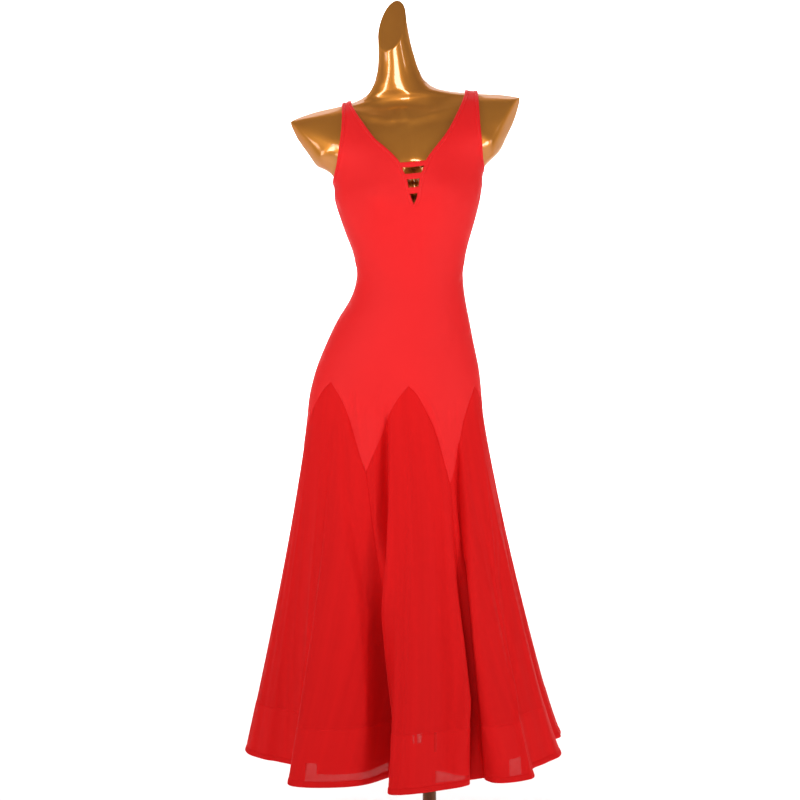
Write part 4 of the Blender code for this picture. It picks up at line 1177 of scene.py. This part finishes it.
panel = {
    # columns before and after the peak
    "columns": {"front_left": (90, 100), "front": (165, 85), "front_right": (165, 75)},
    "plain": (62, 62),
    "rows": 84, "bandRows": 18, "length": 0.5, "halfWidth": 0.2, "tuck": 0.001,
    "sideColumns": (0.0008, 0.0018, 0.0030, 0.0045, 0.0065), "archDip": 0.0008,
    "lift": 0.0002, "thickness": 0.0006, "bandLift": 0.0002, "bandThickness": 0.0013,
}
edgeStrip = {
    "halfColumns": 75, "foldWidth": 0.002,
    # height above the hem in mm, lift in mm: a narrow hem rolled twice
    "profile": ((0.6, -0.1), (0.0, 0.5), (0.2, 1.5), (1.2, 2.2), (3.5, 2.4), (7.0, 2.3),
                (9.2, 1.9), (10.0, 1.2), (9.4, 0.2), (5.0, -0.2)),
}


def godetColumns(row, counts):  # hip bearings, evenly spaced along the hem, closer at the seams
    fine = np.linspace(0, 1, 2000)
    before, after = (
        np.interp(graded(count, (0, 1), panel["halfWidth"], panel["sideColumns"]),
                  godetShare(fine), fine) for count in counts)
    return np.concatenate([row[2] - before[::-1] * (row[2] - row[1]),
                           row[2] + after[1:] * (row[3] - row[2])])


def skirtPanel(name, columns, tops, bottoms, shares, steep, lift, paint, thickness):
    rows, normals, lifts = [], [], []
    for share in shares[::-1]:
        heights = tops + (bottoms - tops) * share
        line = dressPoint(columns, heights)
        rows.append(line)
        normals.append(dressNormal(columns, heights))
        lifts.append(lift + creaseLift(columns, heights) + seamDip(sideAway(line))
                     + seamDip((tops - heights) * steep, panel["archDip"]))
    return clothPiece(name, rows, normals, lifts, gridQuads(len(rows), len(columns)),
                      cutPlan(rows, len(columns) // 2, 0.0), paint, thickness)


def rolledEdge():
    counts = (edgeStrip["halfColumns"],) * 2
    bearings = np.concatenate([godetColumns(row, counts)[:-1] for row in godets])
    rings = []
    for height, lift in edgeStrip["profile"]:
        heights = np.full(bearings.shape, skirt["hem"] + height / 1000)
        rings.append(dressPoint(bearings, heights) + dressNormal(bearings, heights)
                     * (lift / 1000 + creaseLift(bearings, heights))[:, None])
    return loopPiece("hemEdge", rings, walkLength(rings[0]), edgeStrip["foldWidth"], "georgette")


bandTop = skirt["hem"] + skirt["band"]
edgeTop = skirt["hem"] + skirt["edge"]
panels = {}
for row in godets:
    columns = godetColumns(row, panel["columns"].get(row[0], panel["plain"]))
    arch = archHeight(columns)
    level = np.ones(len(columns))
    title = "".join(word.capitalize() for word in row[0].split("_"))
    steep = 1 / np.sqrt(1 + archSlope(columns) ** 2)
    shares = graded(panel["rows"], (1, 1), panel["length"], wideRows)
    upper = skirtPanel("godet" + title, columns, arch, level * bandTop, shares, steep,
                       panel["lift"], "georgette", panel["thickness"])
    shares = graded(panel["bandRows"], (1, 0), skirt["band"])
    lower = skirtPanel("hemBand" + title, columns, level * bandTop,
                       level * (edgeTop - panel["tuck"]), shares, level,
                       panel["bandLift"], "band", panel["bandThickness"])
    wear(upper, "georgette", "godet_" + row[0])
    wear(lower, "georgette", "hem_band_" + row[0])
    panels[row[0]] = (upper, lower)
hemEdge = rolledEdge()
wear(hemEdge, "georgette", "hem_edge")
print("skirt hung")


# dress form

form = {
    "gap": 0.0031, "pressed": 0.875, "bottom": 0.745, "neckStart": 1.452, "neckEnd": 1.645,
    "columns": 200, "neckRows": 60, "rim": 0.0030, "shoulderRim": 0.0060, "capRows": 14,
    "filletRows": 7, "capShare": 0.97,
    # lowest point of each cut and the direction that the cut face looks in
    "neckCut": ((-0.0688, 0.002, 1.5107), (-0.449, -0.783, 0.431)),
    "shoulderCuts": (((-0.1560, 0.0, 1.275), (-0.841, -0.300, -0.450)),
                     ((0.1700, 0.0, 1.307), (0.906, -0.300, -0.300))),
    "cutBelow": 0.004, "cutFade": 0.016, "cutSide": 0.11,
    "armSwell": 0.0190, "armHeight": 1.304, "armSpread": 0.022, "armStart": 0.126, "armFade": 0.02,
    "reliefBack": 0.004, "reliefFade": 0.02,
    # height, and the row spacing up to it from the row before
    "levels": ((0.745, 1.0), (1.28, 0.0042), (1.385, 0.0020), (1.440, 0.0011), (1.452, 0.0016)),
}
# soft relief of neck and collar bones: x and height of both ends, half width and lift in mm
formRelief = np.array([
    (-0.0225, 1.3930, -0.0195, 1.3740, 4.6, 2.2), (-0.0020, 1.3940, 0.0015, 1.3750, 4.4, 2.2),
    (-0.0110, 1.3930, -0.0090, 1.3800, 4, -1.2), (-0.0450, 1.4040, 0.0350, 1.4040, 10, -3.2),
    (-0.0100, 1.3680, -0.0060, 1.3680, 7, -2),
    (-0.0300, 1.3720, -0.0560, 1.3790, 6.5, 1.5), (-0.0560, 1.3790, -0.1000, 1.3920, 7, 1.3),
    (0.0140, 1.3730, 0.0520, 1.3840, 6.5, 1.5), (0.0520, 1.3840, 0.1000, 1.3990, 7, 1.3),
    (-0.0300, 1.3930, -0.0700, 1.4030, 10, -1.4), (0.0300, 1.3960, 0.0700, 1.4080, 10, -1.4),
    (-0.0180, 1.3600, -0.0900, 1.3700, 8, -1.1), (0.0180, 1.3610, 0.0900, 1.3750, 8, -1.1),
    (0.0050, 1.3550, 0.0110, 1.2950, 9, -1.4), (0.0140, 1.2740, 0.0150, 1.2050, 12, -26),
])


def formHeights():
    heights = [form["bottom"]]
    for (low, _), (high, step) in zip(form["levels"], form["levels"][1:]):
        count = max(2, round((high - low) / step))
        heights += list(np.linspace(low, high, count + 1)[1:])
    return heights


def cutAway(points):  # past each cut the form ends in a flat face with a softly rounded rim
    rim = form["shoulderRim"]
    for foot, facing in form["shoulderCuts"]:
        out = unit(np.array(facing))
        rise = unit(np.array([0, 0, 1]) - out * out[2])
        away = (points - np.array(foot)) @ out
        above = (points - np.array(foot)) @ rise
        weight = ease(np.clip((above + form["cutBelow"]) / form["cutFade"], 0, 1))
        weight = np.where(np.abs(points[..., 0]) > form["cutSide"], weight, 0)
        soft = np.where(away > -rim, -rim + rim * (1 - np.exp(-(away + rim) / rim)), away)
        points = points + out * ((soft - away) * weight)[..., None]
    return points


def reliefLift(points):
    lift = np.zeros(points.shape[:-1])
    x, y, z = np.moveaxis(points, -1, 0)
    for x0, z0, x1, z1, width, rise in formRelief:
        _, away = nearSegment(x, z, x0, z0, x1 - x0, z1 - z0)
        lift += rise / 1000 * bell(away, width / 1000)
    return lift * np.clip((form["reliefBack"] - y) / form["reliefFade"], 0, 1)


def formSurface(bearings, heights):
    ring = ringPoint(bearings, heights)
    normal = bodyNormal(ring)
    press = np.where(heights < form["pressed"], np.minimum(creaseLift(bearings, heights), 0), 0)
    ring = ring + normal * (reliefLift(ring) + press - form["gap"])[..., None]
    # the underside of the arm stumps swells out below the shoulders
    share = np.clip((np.abs(ring[..., 0]) - form["armStart"]) / form["armFade"], 0, 1)
    swell = form["armSwell"] * bell(heights - form["armHeight"], form["armSpread"])
    ring[..., 0] += np.sign(ring[..., 0]) * swell * ease(share)
    return ring


def dressForm():
    turns = np.linspace(0, 360, form["columns"], endpoint=False)
    heights = formHeights()
    rings = [cutAway(formSurface(turns, np.full(turns.shape, h))) for h in heights]
    rings[0][:, 2] = form["bottom"]
    foot, facing = (np.array(v) for v in form["neckCut"])
    facing = unit(facing)
    low = np.full(turns.shape, form["neckStart"])
    high = np.full(turns.shape, form["neckEnd"])
    for _ in range(30):      # height at which each column meets the slanted neck cut
        middle = (low + high) / 2
        inside = (formSurface(turns, middle) - foot) @ facing < 0
        low = np.where(inside, middle, low)
        high = np.where(inside, high, middle)
    rim = form["rim"]
    start = np.full(turns.shape, form["neckStart"])
    stop = low - rim
    for share in np.linspace(0, 1, form["neckRows"] + 1)[1:]:
        rings.append(formSurface(turns, start + (stop - start) * share))
    edge = formSurface(turns, low)
    centre = edge.mean(0)
    downward = rings[-1] - edge
    reach = np.linalg.norm(downward, axis=1, keepdims=True)
    downward = downward / reach
    inward = centre - edge
    span = np.linalg.norm(inward, axis=1, keepdims=True)
    inward = inward / span
    for turn in np.linspace(0, 90, form["filletRows"] + 1)[1:]:
        s, c = math.sin(math.radians(turn)), math.cos(math.radians(turn))
        rings.append(edge + downward * reach * (1 - s) + inward * rim * (1 - c))
    for share in np.linspace(0, form["capShare"], form["capRows"] + 1)[1:]:
        rings.append(edge + inward * (rim + (span - rim) * share))
    count = form["columns"]
    faces = gridQuads(len(rings), count, closed=True)
    faces.append(tuple(reversed(range(count))))
    last = (len(rings) - 1) * count
    faces.append(tuple(range(last, last + count)))
    piece = addPiece("dressForm", np.concatenate(rings), faces, "gold")
    smooth(piece, 70)
    return piece


wear(dressForm(), "gold_form", "form_torso")
for name in ("stand_base", "stand_collar", "stand_pole", "stand_flange"):
    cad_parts[name].data.materials.clear()
    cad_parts[name].data.materials.append(paints["bronze"])
print("form and stand ready")


# width and length of the cloth that each piece is cut from, and the area of the cut piece
# name, width at the band, height, area, width of the band
panelCuts = (
    ("front_left", 0.51, 0.59, 0.172, 0.57), ("front", 0.36, 0.60, 0.126, 0.34),
    ("front_right", 0.50, 0.59, 0.175, 0.52), ("back_right", 0.33, 0.59, 0.104, 0.34),
    ("back", 0.32, 0.59, 0.103, 0.33), ("back_left", 0.33, 0.59, 0.104, 0.34),
)
for name, width, length, area, strip in panelCuts:
    upper, lower = panels[name]


# studio

studio = {
    "floor": 15.0, "backAt": 5.0, "wall": 4.6, "sweep": 1.6,
    "paper": (0.93, 0.925, 0.92, 1), "paperShade": (0.915, 0.912, 0.908, 1), "fibre": 40.0,
    "roughness": 0.9, "gloss": 0.2,
    "world": (0.95, 0.96, 1.0, 1), "worldStrength": 0.10, "wallSpread": 110.0,
}


def backEdges(paper, low):  # picks the edges at the back, or only the one on the floor
    bpy.ops.mesh.select_all(action="DESELECT")
    shape = bmesh.from_edit_mesh(paper.data)
    for edge in shape.edges:
        edge.select_set(all(v.co.y > studio["backAt"] - 0.01 and (v.co.z < 0.01 or not low)
                            for v in edge.verts))
    bmesh.update_edit_mesh(paper.data)


def sweepPaper():  # a plane whose back edge is drawn up into a wall, the corner rounded
    paint = Paint("studio_paper")
    fibre = paint.grain(paint.place(), studio["fibre"])
    surface = paint.cover(studio, {
        "Base Color": paint.tint(fibre, studio["paperShade"], studio["paper"])})
    bpy.ops.object.select_all(action="DESELECT")
    bpy.ops.mesh.primitive_plane_add(size=studio["floor"],
                                     location=(0, studio["backAt"] - studio["floor"] / 2, 0))
    paper = bpy.context.object
    paper.name = "studioSweep"
    bpy.ops.object.transform_apply(location=True, rotation=True, scale=True)
    bpy.ops.object.mode_set(mode="EDIT")
    backEdges(paper, low=False)
    bpy.ops.mesh.extrude_region_move(TRANSFORM_OT_translate={"value": (0, 0, studio["wall"])})
    backEdges(paper, low=True)
    bpy.ops.mesh.bevel(offset=studio["sweep"], segments=24)
    bpy.ops.mesh.select_all(action="SELECT")
    bpy.ops.mesh.normals_make_consistent(inside=False)
    bpy.ops.object.mode_set(mode="OBJECT")
    paper.data.materials.append(paint.finish(surface))
    smooth(paper, 60)


# name, place, aim, width, height, watts, colour
lamps = (
    ("keyBox", (-1.35, -1.15, 1.75), (0.0, -0.1, 1.15), 0.26, 0.9, 8.8, (1.0, 0.99, 0.98)),
    ("leftBox", (-2.4, -0.90, 1.10), (0.0, 0.0, 1.0), 0.7, 1.3, 12.5, (1.0, 1.0, 1.0)),
    ("frontBox", (-0.30, -2.30, 1.95), (0.0, 0.0, 1.15), 0.9, 0.6, 21.8, (1.0, 1.0, 1.0)),
    ("fillBox", (1.60, -1.30, 0.75), (0.0, 0.0, 0.75), 0.30, 1.0, 11.5, (0.98, 0.99, 1.0)),
    ("rightBox", (2.3, -0.80, 1.10), (0.0, 0.0, 1.0), 0.6, 1.3, 6.5, (1.0, 1.0, 1.0)),
    ("glintBox", (1.15, -1.35, 1.60), (0.0, 0.0, 1.45), 0.10, 0.8, 3.0, (1.0, 0.98, 0.95)),
    ("backBox", (0.5, 3.0, 2.2), (0.0, 0.0, 1.0), 1.6, 1.2, 26.0, (1.0, 1.0, 1.0)),
    ("wallLeft", (-2.6, 3.0, 2.8), (-0.5, 5.0, 1.3), 1.6, 2.2, 110.0, (1.0, 1.0, 1.0)),
    ("wallRight", (2.6, 3.0, 2.8), (0.5, 5.0, 1.3), 1.6, 2.2, 110.0, (1.0, 1.0, 1.0)),
    ("floorLamp", (0.0, 2.3, 3.4), (0.0, 2.3, 0.0), 3.0, 2.6, 120.0, (1.0, 1.0, 1.0)),
)


def lightStudio():
    for name, place, aim, width, height, watts, colour in lamps:
        data = bpy.data.lights.new(name, "AREA")
        data.shape = "RECTANGLE"
        data.size, data.size_y = width, height
        data.energy = watts
        data.color = colour
        if name.startswith("wall"):
            data.spread = math.radians(studio["wallSpread"])   # none of it reaches the dress
        lamp = bpy.data.objects.new(name, data)
        lamp.location = place
        lamp.rotation_euler = (Vector(aim) - Vector(place)).to_track_quat("-Z", "Y").to_euler()
        bpy.context.scene.collection.objects.link(lamp)
    world = bpy.data.worlds.new("studioAir")
    world.use_nodes = True
    air = world.node_tree.nodes["Background"]
    air.inputs["Color"].default_value = studio["world"]
    air.inputs["Strength"].default_value = studio["worldStrength"]
    bpy.context.scene.world = world


camera = {"place": (-0.00935, -2.60, 1.045), "pitch": 85.930, "lens": 62.73, "sensor": 36.0}


def setCamera():
    data = bpy.data.cameras.new("studioCamera")
    data.sensor_width = camera["sensor"]
    data.lens = camera["lens"]
    view = bpy.data.objects.new("studioCamera", data)
    view.location = camera["place"]
    view.rotation_euler = (math.radians(camera["pitch"]), 0, 0)
    bpy.context.scene.collection.objects.link(view)
    bpy.context.scene.camera = view


sweepPaper()
lightStudio()
setCamera()
print("studio lit")
